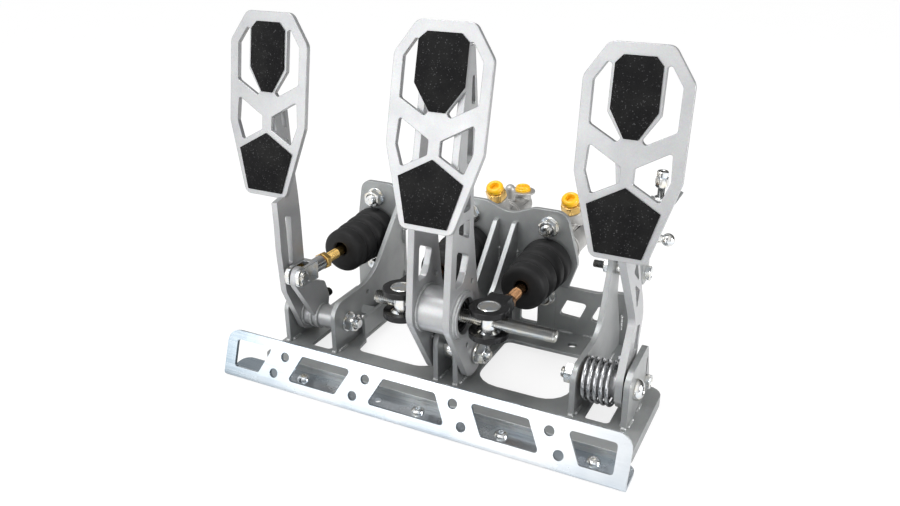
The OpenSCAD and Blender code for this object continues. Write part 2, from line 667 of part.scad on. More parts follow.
// Pedal plates
function face_y(at, lean, z) = at.y + face_t / cos(lean) + (z - at.z) * tan(lean);
module in_face(at, lean) {
    translate(at) rotate([90 - lean, 0, 0]) children();
}
function face_rows(w) = let (h = face_h) [
    [0.27 * w, 0, 6], [w / 2, 0.4 * h, 8], [w / 2, 0.84 * h, 8], [0.287 * w, h, 7],
    [-0.287 * w, h, 7], [-w / 2, 0.84 * h, 8], [-w / 2, 0.4 * h, 8], [-0.27 * w, 0, 6]];
// Right-hand windows above and below the web
function upper_window(w) = let (k = w / 66) [
    [16.1 * k, 117.5, 1.4], [18.6 * k, 118.6, 1.4], [26.3 * k, 107.2, 2.5], [26.3 * k, 81.6, 2.5],
    [8.6 * k, 72, 1.6], [6.3 * k, 74.8, 1.4], [16.1 * k, 89.7, 2.5]];
function lower_window(w) = let (k = w / 66) [
    [25.2 * k, 69.8, 1.4], [26.2 * k, 52.5, 4], [21.2 * k, 39, 1.4], [4.1 * k, 48.2, 1.6], [4.1 * k, 57.6, 1.6]];
module foot_plate(at, lean, w) {
    color(paint) in_face(at, lean) translate([0, 0, -face_t]) linear_extrude(face_t) difference() {
        polygon(rounded(face_rows(w)));
        for (rows = [upper_window(w), lower_window(w)]) {
            polygon(rounded(rows));
            polygon(rounded(mirrored(rows)));
        }
    }
}
// Octagonal grip at the top and five-sided grip at the bottom
module grip_pads(at, lean, k) {
    color(grip) in_face(at, lean) {
        linear_extrude(grip_t) polygon([
            [9.5 * k, 123], [14.1 * k, 118], [14.3 * k, 91.5], [4.4 * k, 74.8],
            [-4.4 * k, 74.8], [-14.3 * k, 91.5], [-14.1 * k, 118], [-9.5 * k, 123]]);
        linear_extrude(grip_t) polygon([
            [0, 45.8], [22.8, 32.9], [14.8, 3.6], [-14.8, 3.6], [-22.8, 32.9]]);
    }
}
module clutch_face() { foot_plate(clutch_face_at, clutch_lean, face_w); }
module clutch_grips() { grip_pads(clutch_face_at, clutch_lean, 1); }
module brake_face() { foot_plate(brake_face_at, brake_lean, brake_face_w); }
module brake_grips() { grip_pads(brake_face_at, brake_lean, 1.22); }
module throttle_face() { foot_plate(throttle_face_at, throttle_lean, face_w); }
module throttle_grips() { grip_pads(throttle_face_at, throttle_lean, 1); }

// Clutch arm
function c_y(z) = face_y(clutch_face_at, clutch_lean, z);
clutch_top = clutch_face_at.z + 70;
clutch_bend_z = pivot_z + 90;
clutch_cant = 12;
clutch_low_rows = [
    [pivot_y - 26, clutch_bend_z + 1, 0], [pivot_y - 26.8, pivot_z + 62, 40],
    [pivot_y - 25, pivot_z + 28, 16], [pivot_y - 6, pivot_z - hub_r, 10], [pivot_y + 8, pivot_z - hub_r, 10],
    [pivot_y + hub_r, pivot_z + 8, 12], [pivot_y - 0.5, pivot_z + 42, 30], [pivot_y - 0.5, clutch_bend_z + 1, 0]];
clutch_high_rows = [
    [pivot_y - 24.5, clutch_face_at.z - 1, 0], [pivot_y - 26, clutch_bend_z, 0],
    [pivot_y - 0.5, clutch_bend_z, 0], [pivot_y + 6, clutch_bend_z + 36, 40],
    [c_y(clutch_top) + 13, clutch_top - 4, 3], [c_y(clutch_top) + 5, clutch_top, 3],
    [c_y(clutch_top) - 2, clutch_top, 0], [c_y(clutch_face_at.z + 1) - 2, clutch_face_at.z + 1, 0]];
clutch_low_slots = [[[-18.6, 87, 1.6], [-11.8, 83.4, 1.6], [-14, 48, 1.6], [-18.8, 48, 1.6]]];
clutch_high_slots = [
    [[-14.5, 106, 1.5], [-5, 104, 1.5], [-2, 124, 1.5], [-4, 125, 1.5]],
    [[-1, 131, 1.5], [4.5, 112, 1.5], [5.5, 136, 1.5], [3, 139, 1.5]],
    [[2.5, 147, 1.2], [7.5, 143, 1.2], [9.5, 160, 1.2], [5.5, 158, 1.2]]];
module slotted(rows, slots, z) {
    difference() {
        polygon(rounded(rows, 6));
        for (s = slots) translate([pivot_y, z]) polygon(rounded(s, 3));
    }
}
// The upper part of an arm leans to the left from its bend
module leaning(x0, bend_z, cant) {
    translate([x0, 0, bend_z]) rotate([0, -cant, 0]) translate([0, 0, -bend_z]) children();
}
// Space of a foot plate, taken out of the arm that is welded to its back
module face_space(at, lean) {
    in_face(at, lean) translate([-face_w, -0.2, -face_t]) cube([2 * face_w, face_h, 3 * face_t]);
}
module clutch_arm() {
    color(paint) {
        difference() {
            side_plate(clutch_arm_x, arm_t) slotted(clutch_low_rows, clutch_low_slots, pivot_z);
            translate([0, pivot_y, pivot_z]) along_x(clutch_arm_x - 1, arm_t + 2, bush_d / 2);
        }
        difference() {
            leaning(clutch_arm_x, clutch_bend_z, clutch_cant)
                side_plate(0, arm_t) slotted(clutch_high_rows, clutch_high_slots, pivot_z);
            face_space(clutch_face_at, clutch_lean);
        }
    }
}
clutch_tube_x1 = clutch_right_x - side_gap;
clutch_lug_rows = [
    [pivot_y - 8, pivot_z + 2, 0], [pin_y - 7, pin_z - 4, 6], [pin_y - 4, pin_z + 7, 6],
    [pin_y + 7, pin_z + 6, 6], [pin_y + 10, pin_z - 9, 5], [pivot_y - 3, pivot_z + 31, 3],
    [pivot_y + 6, pivot_z + 27, 4], [pivot_y + 11, pivot_z + 13, 3], [pivot_y + 8, pivot_z + 2, 0]];
module clutch_pivot_tube() {
    x0 = clutch_arm_x + arm_t;
    color(paint) {
        translate([0, pivot_y, pivot_z]) ring_x(x0, clutch_tube_x1 - x0, pivot_tube_d / 2, bush_d / 2);
        difference() {
            side_plate(clutch_x - lug_t / 2, lug_t) polygon(rounded(clutch_lug_rows));
            translate([0, pivot_y, pivot_z]) along_x(clutch_x - lug_t, 2 * lug_t, pivot_tube_d / 2);
            translate([0, pin_y, pin_z]) along_x(clutch_x - lug_t, 2 * lug_t, 4 + fit);
        }
    }
}
bush_l = 9;
bush_lip = 1;
module bush(x0, l, lip_x) {
    ring_x(x0, l, bush_d / 2, pivot_d / 2 + fit);
    ring_x(lip_x, bush_lip, bush_d / 2 + 2, pivot_d / 2 + fit);
}
module clutch_bushes() {
    color(gold) translate([0, pivot_y, pivot_z]) {
        bush(clutch_arm_x, bush_l, clutch_arm_x - bush_lip);
        bush(clutch_tube_x1 - bush_l, bush_l, clutch_tube_x1);
    }
}

// Brake arms, one on each side of the brackets
function b_y(z) = face_y(brake_face_at, brake_lean, z);
brake_top = brake_face_at.z + 112;
brake_arm_rows = [
    [pivot_y - 35.6, brake_face_at.z - 1, 0], [pivot_y - 39.7, pivot_z + 70, 60],
    [pivot_y - 43, pivot_z + 38, 18], [pivot_y - 12, pivot_z - hub_r - 1, 12],
    [pivot_y + 6, pivot_z - hub_r - 1, 12], [pivot_y + hub_r + 2, pivot_z + 6, 14],
    [pivot_y + 2, pivot_z + 54, 24], [pivot_y - 4.4, pivot_z + 98, 30],
    [pivot_y - 4.4, pivot_z + 127, 40], [pivot_y + 1.5, pivot_z + 176, 30],
    [b_y(brake_top) + 7, brake_top, 3], [b_y(brake_top), brake_top, 0],
    [b_y(brake_face_at.z + 1), brake_face_at.z + 1, 0]];
brake_slots = [
    [[-32, 64, 2], [-29.5, 90, 2], [-12, 81, 2], [-17, 70, 3], [-22, 64, 3]],
    [[-26.5, 101, 2], [-26.5, 106, 2], [-10.5, 106, 2], [-10.5, 92, 2]],
    [[-20, 113, 2], [-9, 113, 2], [-8.5, 138, 2], [-17, 132, 2]],
    [[-15.5, 143, 2], [-6.5, 148, 2], [-5, 172, 2], [-12.5, 168, 2]],
    [[-8.5, 182, 1.5], [-2.5, 181, 1.5], [-3.5, 200, 1.5], [-7, 198, 1.5]]];
module brake_arm(x0) {
    color(paint) difference() {
        side_plate(x0, arm_t) slotted(brake_arm_rows, brake_slots, pivot_z);
        translate([0, pivot_y, pivot_z]) along_x(x0 - 1, arm_t + 2, bush_d / 2);
        translate([0, bar_y, bar_z]) along_x(x0 - 1, arm_t + 2, bias_tube_d / 2);
        translate([0, pivot_y - 15, pivot_z + 14]) along_x(x0 - 1, arm_t + 2, 1.8);
        translate([0, pivot_y - 7, pivot_z + 60]) along_x(x0 - 1, arm_t + 2, 1.8);
    }
}
module brake_arm_left() { brake_arm(brake_left_arm_x); }
module brake_arm_right() { brake_arm(brake_right_arm_x); }
bias_x0 = brake_left_arm_x;
bias_x1 = brake_right_arm_x + arm_t + 3;
module bias_tube() {
    color(paint) translate([0, bar_y, bar_z])
        ring_x(bias_x0, bias_x1 - bias_x0, bias_tube_d / 2, bias_bore_d / 2);
}
module brake_bushes() {
    color(gold) translate([0, pivot_y, pivot_z]) for (x = [brake_left_arm_x, brake_right_arm_x])
        bush(x, arm_t, x == brake_left_arm_x ? x + arm_t : x - bush_lip);
}
module balance_bar() {
    color(zinc) translate([0, bar_y, bar_z]) {
        along_x(bar_x0 + 1, bar_l - 2, bar_d / 2);
        translate([bar_x0, 0, 0]) rotate([0, 90, 0]) cylinder(h = 1, r1 = bar_d / 2 - 1, r2 = bar_d / 2);
        translate([bar_x0 + bar_l - 1, 0, 0]) rotate([0, 90, 0])
            cylinder(h = 1, r1 = bar_d / 2, r2 = bar_d / 2 - 1);
    }
}
module bias_bearing() {
    r = bias_bore_d / 2 - fit;
    w = 12;
    color(zinc) translate([brake_mid_x, bar_y, bar_z]) difference() {
        along_x(-w / 2, w, r);
        along_x(-w, 2 * w, bar_d / 2);
        for (s = [-1, 1]) translate([s * w / 2, 0, 0]) ring_x(-1, 2, r - 2.4, bar_d / 2 + 2.5);
    }
}

// Brake clevises: two round ears, a back block and the trunnion that the bar runs through
ear_t = 4.5;
fork_back = 21;
module brake_clevis(i) {
    color(black) aimed(brake_from(i), brake_ball(i)) difference() {
        union() {
            for (z = [-fork_h / 2, fork_h / 2 - ear_t]) translate([0, 0, z]) {
                cylinder(h = ear_t, r = fork_r);
                translate([-8, 0, 0]) cube([16, fork_back, ear_t]);
            }
            translate([-8, fork_back - 6, -fork_h / 2]) cube([16, 6, fork_h]);
            along_y(fork_back, 8, 6.6);
        }
        translate([0, 0, -fork_h]) cylinder(h = 2 * fork_h, r = trunnion_d / 2);
        along_y(fork_back - 7, 20, rod_d / 2);
    }
}
module brake_trunnion(i) {
    color(zinc) aimed(brake_from(i), brake_ball(i)) difference() {
        translate([0, 0, -fork_h / 2 - 0.4]) cylinder(h = fork_h + 0.8, r = trunnion_d / 2);
        along_x(-trunnion_d, 2 * trunnion_d, bar_d / 2 + fit);
    }
}
function brake_from(i) = [clevis_xs[i], bar_y, bar_z];
function brake_ball(i) = [cylinder_xs[i], ball_y, cylinder_z];
module brake_push_rod(i) { push_rod(brake_from(i), brake_ball(i), fork_back + 8, fork_back + 8.5); }
module brake_clevis_left() { brake_clevis(0); }
module brake_clevis_right() { brake_clevis(1); }
module brake_trunnion_left() { brake_trunnion(0); }
module brake_trunnion_right() { brake_trunnion(1); }
module brake_push_rod_left() { brake_push_rod(0); }
module brake_push_rod_right() { brake_push_rod(1); }

// Throttle arm: the lower part stands upright beside the bracket, the upper part leans in under the face
function t_y(z) = face_y(throttle_face_at, throttle_lean, z);
arm_bend_z = throttle_pivot_z + 47;
arm_cant = 8;
throttle_top = throttle_face_at.z + 62;
throttle_low_rows = [
    [pivot_y - 6, throttle_pivot_z - hub_r, 10], [pivot_y + 8, throttle_pivot_z - hub_r, 10],
    [pivot_y + hub_r, throttle_pivot_z + 4, 10], [pivot_y + 26, arm_bend_z - 6, 14],
    [pivot_y + 26, arm_bend_z + 1, 0], [pivot_y + 6, arm_bend_z + 1, 0],
    [pivot_y + 6, arm_bend_z - 4, 20], [pivot_y - hub_r, throttle_pivot_z + 12, 14],
    [pivot_y - hub_r, throttle_pivot_z - 4, 10]];
throttle_high_rows = [
    [pivot_y + 6.3, arm_bend_z - 0.4, 0], [pivot_y + 25.7, arm_bend_z - 0.4, 0],
    [pivot_y + 22, throttle_face_at.z - 8, 30],
    [pivot_y + 15, throttle_top - 4, 4], [t_y(throttle_top) - 2, throttle_top, 0],
    [t_y(throttle_face_at.z + 1) - 2, throttle_face_at.z + 1, 0], [pivot_y - 7, throttle_face_at.z - 1, 0]];
throttle_low_slots = [
    [[6, 22, 1.2], [16, 20, 1.2], [19, 38, 1.2], [12, 40, 1.2]]];
throttle_high_slots = [
    [[9.5, 52, 1.2], [19, 62, 1.2], [9.5, 70, 1.2]],
    [[9, 78, 1.2], [19, 68, 1.2], [18, 84, 1.2]],
    [[3, 96, 1.2], [15, 90, 1.2], [9, 106, 1.2], [3.5, 106, 1.2]]];
module throttle_arm() {
    color(paint) {
        difference() {
            side_plate(throttle_arm_x, arm_t) slotted(throttle_low_rows, throttle_low_slots, throttle_pivot_z);
            translate([0, pivot_y, throttle_pivot_z]) along_x(throttle_arm_x - 1, arm_t + 2, bush_d / 2);
        }
        difference() {
            leaning(throttle_arm_x, arm_bend_z, arm_cant)
                side_plate(0.1, arm_t - 0.2) slotted(throttle_high_rows, throttle_high_slots, throttle_pivot_z);
            face_space(throttle_face_at, throttle_lean);
        }
        translate([0, pivot_y + spring_r - spring_wire / 2 - 2.5, throttle_pivot_z + spring_r])
            along_x(throttle_arm_x - 5, 5.5, 2);
    }
}
throttle_tube_x0 = throttle_left_x + bracket_t + side_gap;
module throttle_pivot_tube() {
    color(paint) translate([0, pivot_y, throttle_pivot_z])
        ring_x(throttle_tube_x0, throttle_arm_x - throttle_tube_x0, pivot_tube_d / 2, bush_d / 2);
}
module throttle_bushes() {
    color(gold) translate([0, pivot_y, throttle_pivot_z]) {
        bush(throttle_tube_x0, bush_l, throttle_tube_x0 - bush_lip);
        bush(throttle_arm_x + arm_t - bush_l, bush_l, throttle_arm_x + arm_t);
    }
}

// Return spring: one unbroken tube, with straight legs to the tray and to the arm
spring_x0 = throttle_left_x + bracket_t + spring_wire / 2 + 0.5;
rings_per_turn = 8;
wire_sides = 6;
spring_start = 0;
leg_down = throttle_pivot_z - tray_h - 0.2;
spring_end = spring_start + 360 * spring_turns;
function coil_point(a) = [
    spring_x0 + spring_pitch * (a - spring_start) / 360,
    pivot_y + spring_r * cos(a), throttle_pivot_z + spring_r * sin(a)];
spring_path = concat(
    [for (d = [leg_down, leg_down / 2]) coil_point(spring_start) - [0, 0, d]],
    [for (i = [0 : rings_per_turn * spring_turns]) coil_point(spring_start + 360 * i / rings_per_turn)],
    [for (d = [8, 17]) coil_point(spring_end) + [0, 0, d]]);
module tube_along(path, r, sides) {
    n = len(path);
    dirs = [for (i = [0 : n - 1]) unit(path[min(i + 1, n - 1)] - path[max(i - 1, 0)])];
    pts = [for (i = [0 : n - 1]) let (d = dirs[i], u = unit(cross(d, [1, 0, 0])), w = cross(d, u))
        for (k = [0 : sides - 1]) path[i] + r * (cos(360 * k / sides) * u + sin(360 * k / sides) * w)];
    quads = [for (i = [0 : n - 2], k = [0 : sides - 1]) let (m = (k + 1) % sides) each [
        [i * sides + k, (i + 1) * sides + k, (i + 1) * sides + m],
        [i * sides + k, (i + 1) * sides + m, i * sides + m]]];
    caps = [for (k = [1 : sides - 2]) each [
        [0, k, k + 1], [(n - 1) * sides, (n - 1) * sides + k + 1, (n - 1) * sides + k]]];
    polyhedron(points = pts, faces = concat(quads, caps));
}
module throttle_spring() {
    color(zinc) tube_along(spring_path, spring_wire / 2, wire_sides);
}
far_pairs = [for (i = [0 : len(spring_path) - 1], j = [i + 4 : 1 : len(spring_path) - 1])
    norm(spring_path[i] - spring_path[j]) - spring_wire];
echo(spring_least_gap = min(far_pairs));

// Stop screw in the right throttle bracket
module throttle_stop_screw() {
    color(zinc) translate([0, stop_y, stop_z]) {
        along_x(throttle_right_x - 2, bracket_t + 2, 3);
        hex_x(throttle_right_x + bracket_t, 4, 10);
        ring_x(throttle_right_x - 2, 2, 5, 3);
    }
}

// Cable bracket, its adjuster and the bolt that holds them on the throttle column
cable_y = link_bolt_y;
cable_x = throttle_left_x + 21.7;
cable_t = 3;
cable_top = link_bolt_z + 54.5;
cable_reach = 17;
adjuster_x = cable_x + 8;
adjuster_r = 2.5;
stud_z = link_bolt_z + 27.3;
module cable_bracket() {
    color(zinc) difference() {
        union() {
            side_plate(cable_x, cable_t) polygon(rounded([
                [cable_y - 8, link_bolt_z - 8, 6], [cable_y + 8, link_bolt_z - 8, 6],
                [cable_y + 8, cable_top, 0], [cable_y - 7, cable_top, 0], [cable_y - 7, stud_z + 10, 6],
                [cable_y - 8, link_bolt_z + 12, 10]]));
            cross_plate(cable_y - 7, 15) polygon(rounded([
                [cable_x, cable_top - cable_t, 0], [cable_x + cable_reach, cable_top - cable_t, 4],
                [cable_x + cable_reach + 4.6, cable_top + 5.4, 0.6],
                [cable_x + cable_reach + 2, cable_top + 6.6, 0.6],
                [cable_x + cable_reach - 1.8, cable_top, 1.5], [cable_x, cable_top, 0]]));
        }
        translate([0, link_bolt_y, link_bolt_z]) along_x(cable_x - 1, 5, 3 + bolt_play);
        translate([0, cable_y, stud_z]) along_x(cable_x - 1, 5, 3);
        translate([adjuster_x, cable_y, cable_top - 4]) cylinder(h = 5, r = adjuster_r);
    }
}
module cable_adjuster() {
    color(zinc) translate([adjuster_x, cable_y, cable_top]) {
        translate([0, 0, -10]) cylinder(h = 21, r = adjuster_r);
        for (z = [0, -cable_t - 3]) difference() {
            hex_z(z, 3, 8);
            translate([0, 0, -11]) cylinder(h = 22, r = adjuster_r);
        }
        difference() {
            hex_z(10, 11, 8);
            translate([0, 0, 16]) cylinder(h = 6, r = 1.6);
        }
    }
}
module linkage_bolts() {
    color(zinc) {
        translate([0, link_bolt_y, link_bolt_z]) {
            along_x(throttle_left_x - 13, cable_x + cable_t - throttle_left_x + 13, 3);
            hex_x(cable_x + cable_t, 4, 10);
            ring_x(throttle_left_x + bracket_t, cable_x - throttle_left_x - bracket_t, 5, 3);
            difference() {
                hex_x(throttle_left_x - 5, 5, 10);
                along_x(throttle_left_x - 6, 7, 3);
            }
        }
        translate([0, cable_y, stud_z]) {
            along_x(cable_x - 3, cable_t + 13, 3);
            hex_x(cable_x + cable_t, 4, 9);
            difference() {
                hex_x(cable_x - 4, 4, 9);
                along_x(cable_x - 5, 6, 3);
            }
            translate([cable_x + 16, 0, 0]) sphere(r = 4.6);
        }
    }
}

// Couplings of rods and pistons: the ball end is on the cylinder's axis at rest and at full travel
function swung(p, a) = [p.x * cos(a) + p.y * sin(a), p.y * cos(a) - p.x * sin(a)];
function rod_tilt(h, l) = asin(h / l);
module report_link(name, p, travel) {
    l = norm([ball_y - pivot_y - p.x, p.y + pivot_z - cylinder_z]);
    q = swung(p, travel);
    t0 = rod_tilt(p.y + pivot_z - cylinder_z, l);
    t1 = rod_tilt(q.y + pivot_z - cylinder_z, l);
    stroke = q.x + l * cos(t1) - p.x - l * cos(t0);
    echo(name, rod_ratio = (t1 - t0) / travel - 1, piston_m_per_rad = stroke / 1000 / (travel * PI / 180),
         stroke_mm = stroke);
}
report_link("clutch", [pin_y - pivot_y, pin_z - pivot_z], clutch_travel);
report_link("brake", [bar_y - pivot_y, bar_z - pivot_z], brake_travel);

base_frame();
tray_folds();
heel_plate();
heel_plate_screws();
clutch_bracket_left();
clutch_bracket_right();
brake_bracket_left();
brake_bracket_right();
throttle_bracket_left();
throttle_bracket_right();
clutch_mount_plate();
brake_mount_plate();
rear_wall();
clutch_pivot_bolt();
brake_pivot_bolt();
throttle_pivot_bolt();
clutch_cylinder();
brake_cylinder_left();
brake_cylinder_right();
cylinder_bolts();
port_unions();
port_plugs();
clutch_boot();
brake_boot_left();
brake_boot_right();
throttle_spring();
throttle_stop_screw();
cable_bracket();
cable_adjuster();
linkage_bolts();
clutch_arm();
clutch_face();
clutch_grips();
clutch_pivot_tube();
clutch_bushes();
clutch_clevis();
clutch_clevis_pin();
clutch_push_rod();
clutch_piston();
brake_arm_left();
brake_arm_right();
brake_face();
brake_grips();
bias_tube();
brake_bushes();
balance_bar();
bias_bearing();
brake_clevis_left();
brake_trunnion_left();
brake_push_rod_left();
brake_piston_left();
brake_clevis_right();
brake_trunnion_right();
brake_push_rod_right();
brake_piston_right();
throttle_arm();
throttle_face();
throttle_grips();
throttle_pivot_tube();
throttle_bushes();
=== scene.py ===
"""Looks of the three-pedal floor unit: finishes, rounded edges, threads, welds, boots, light and camera."""

from __future__ import annotations

import sys

import json
import logging
import math
from dataclasses import dataclass, field
from enum import Enum
from typing import Callable, Iterable, Sequence, Union

import bmesh
import bpy
from mathutils import Matrix, Vector
from mathutils.geometry import tessellate_polygon

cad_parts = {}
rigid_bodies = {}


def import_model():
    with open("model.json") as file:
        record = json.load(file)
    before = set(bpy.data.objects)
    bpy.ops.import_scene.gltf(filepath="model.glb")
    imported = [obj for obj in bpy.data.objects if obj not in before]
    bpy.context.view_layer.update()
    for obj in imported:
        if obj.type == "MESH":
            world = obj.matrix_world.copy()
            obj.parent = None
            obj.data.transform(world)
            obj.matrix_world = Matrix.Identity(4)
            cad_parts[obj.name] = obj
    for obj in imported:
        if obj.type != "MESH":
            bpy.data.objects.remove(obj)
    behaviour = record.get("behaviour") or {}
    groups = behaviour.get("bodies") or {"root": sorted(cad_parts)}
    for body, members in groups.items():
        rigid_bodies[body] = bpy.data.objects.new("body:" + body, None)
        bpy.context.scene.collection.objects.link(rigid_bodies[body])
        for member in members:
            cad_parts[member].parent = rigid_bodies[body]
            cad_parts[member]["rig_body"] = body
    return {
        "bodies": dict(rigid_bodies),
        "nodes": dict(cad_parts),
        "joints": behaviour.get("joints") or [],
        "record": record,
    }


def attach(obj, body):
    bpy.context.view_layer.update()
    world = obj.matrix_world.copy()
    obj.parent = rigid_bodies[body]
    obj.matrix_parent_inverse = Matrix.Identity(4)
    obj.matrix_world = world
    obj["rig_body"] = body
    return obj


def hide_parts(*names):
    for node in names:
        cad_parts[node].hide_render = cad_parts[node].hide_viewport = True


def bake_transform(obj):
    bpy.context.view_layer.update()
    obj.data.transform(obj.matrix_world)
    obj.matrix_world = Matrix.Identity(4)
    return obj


LOG = logging.getLogger("pedal_set")
MM = 0.001
TURN = 2 * math.pi
FLAT_ANGLE, SHARP_ANGLE = math.radians(0.5), math.radians(35)
NEARLY_STRAIGHT, SIDE_SHARE = 1.565, 0.48
M8_PITCH = 1.25
LEFT, RIGHT, FRONT, BACK, UP = (-1, 0, 0), (1, 0, 0), (0, -1, 0), (0, 1, 0), (0, 0, 1)
Mesh = bpy.types.Mesh
BMesh = bmesh.types.BMesh
Thing = bpy.types.Object
Point = tuple[float, float, float]
Rows = Sequence[tuple[float, float]]
Path = Sequence[Point]


class Kind(Enum):
    """The kinds of value that a tree's named input can hold."""

    NUMBER = "NodeSocketFloat"
    COUNT = "NodeSocketInt"
    MATERIAL = "NodeSocketMaterial"
    OBJECT = "NodeSocketObject"
    GEOMETRY = "NodeSocketGeometry"


def set_all(thing: object, **values: object) -> None:
    """Sets several properties of one thing."""
    for key, value in values.items():
        setattr(thing, key, value)


def linked(name: str, data: bpy.types.ID) -> Thing:
    """Makes an object and links it to the scene.

    Args:
        name: Its name.
        data: Its mesh, lamp or camera data.

    Returns:
        The object.
    """
    made = bpy.data.objects.new(name, data)
    bpy.context.scene.collection.objects.link(made)
    return made


def joined(operation: str) -> Callable[[Sock, Value], Sock]:
    """A method that joins a socket and another value by a Math node."""
    return lambda self, other: self.apply(operation, other)


@dataclass(frozen=True, eq=False)
class Sock:
    """One output socket, with arithmetic that adds Math nodes to its tree."""

    graph: Graph
    out: bpy.types.NodeSocket

    def apply(self, operation: str, other: Value = 0.0, first: Value = None, clamp: bool = False) -> Sock:
        """Adds a Math node on this, or on first where that is given, and on other."""
        return self.graph.node("ShaderNodeMath", {0: self if first is None else first, 1: other},
                               operation=operation, use_clamp=clamp)

    __add__ = __radd__ = joined("ADD")
    __mul__ = __rmul__ = joined("MULTIPLY")
    __sub__ = joined("SUBTRACT")
    __truediv__ = joined("DIVIDE")
    least = joined("MINIMUM")
    above = joined("GREATER_THAN")

    def __rsub__(self, other: Value) -> Sock:
        """Other minus this."""
        return self.apply("SUBTRACT", self, other)

    def clamped(self) -> Sock:
        """This, kept between 0 and 1."""
        return self.apply("ADD", 0.0, clamp=True)

    def other(self, name: str) -> Sock:
        """Another output of the same node."""
        return Sock(self.graph, self.out.node.outputs[name])

    def step(self, low: float, high: float) -> Sock:
        """A smooth rise from 0 where this is low to 1 where it is high."""
        return self.graph.node("ShaderNodeMapRange", {"Value": self, "From Min": low, "From Max": high},
                               interpolation_type="SMOOTHSTEP", clamp=True)


Value = Union[Sock, float, int, tuple, None]


class Graph:
    """A node tree, with one method that makes any node."""

    def __init__(self, tree: bpy.types.NodeTree) -> None:
        """Takes the tree to build in."""
        self.tree = tree

    def node(self, kind: str, values: dict | None = None, out: int | str = 0, stops: Sequence[tuple] = (),
             **settings: object) -> Sock:
        """Makes a node.

        Args:
            kind: The node's type.
            values: Numbers or links for its input sockets, by name or number.
            out: Which output to give back.
            stops: Place and colour of each stop, where it is a colour ramp.
            **settings: Its own properties, set before its inputs.

        Returns:
            That output.
        """
        made = self.tree.nodes.new(kind)
        set_all(made, **settings)
        for i, (place, colour) in enumerate(stops):
            element = made.color_ramp.elements[i] if i < 2 else made.color_ramp.elements.new(place)
            element.position, element.color = place, (*colour, 1.0)
        for key, value in (values or {}).items():
            self.feed(made.inputs[key], value)
        return Sock(self, made.outputs[out] if len(made.outputs) else None)

    def feed(self, socket: bpy.types.NodeSocket, value: Value) -> None:
        """Links or sets one input socket.

        Args:
            socket: The input.
            value: A socket to link, or the number, vector or colour to set.
        """
        if isinstance(value, Sock):
            self.tree.links.new(value.out, socket)
        elif value is not None:
            plain = socket.type == "RGBA" and len(value) == 3
            socket.default_value = (*value, 1.0) if plain else value


class Recipe(Graph):
    """A Geometry Nodes tree with named inputs, run once on a mesh."""

    def __init__(self, name: str, **inputs: Kind) -> None:
        """Makes the tree's sockets.

        Args:
            name: The tree's name.
            **inputs: Its named inputs and their kinds. "Finish" is added to them.
        """
        super().__init__(bpy.data.node_groups.new(name, "GeometryNodeTree"))
        face = self.tree.interface
        for way in ("INPUT", "OUTPUT"):
            face.new_socket("Geometry", in_out=way, socket_type=Kind.GEOMETRY.value)
        self.keys = {label: face.new_socket(label, in_out="INPUT", socket_type=kind.value).identifier
                     for label, kind in {**inputs, "Finish": Kind.MATERIAL}.items()}
        self.entry = self.tree.nodes.new("NodeGroupInput")
        self.exit = self.tree.nodes.new("NodeGroupOutput")

    def given(self, *labels: str) -> list[Sock]:
        """The named inputs, as sockets."""
        return [Sock(self, self.entry.outputs[label]) for label in labels]

    def end(self, kind: str, values: dict) -> Recipe:
        """Ends the tree: real geometry, smooth, with its material.

        Args:
            kind: Type of its last node.
            values: That node's inputs.

        Returns:
            The recipe.
        """
        real = self.node("GeometryNodeRealizeInstances", {"Geometry": self.node(kind, values)})
        smooth = self.node("GeometryNodeSetShadeSmooth", {"Geometry": real})
        material, = self.given("Finish")
        dressed = self.node("GeometryNodeSetMaterial", {"Geometry": smooth, "Material": material})
        self.feed(self.exit.inputs["Geometry"], dressed)
        return self

    def run(self, mesh: Mesh, finish: Finish, **values: float | int | Thing) -> Mesh:
        """Runs the tree.

        Args:
            mesh: The mesh that it starts from.
            finish: The finish of what it makes.
            **values: The other inputs by name.

        Returns:
            The plain mesh that it makes.
        """

        def modify(holder: Thing) -> None:
            """Adds the modifier and sets its inputs.

            Args:
                holder: The object that holds the mesh.
            """
            modifier = holder.modifiers.new("recipe", "NODES")
            modifier.node_group = self.tree
            for label, value in {"Finish": finish.material(), **values}.items():
                modifier[self.keys[label]] = value

        return evaluated(mesh, modify)


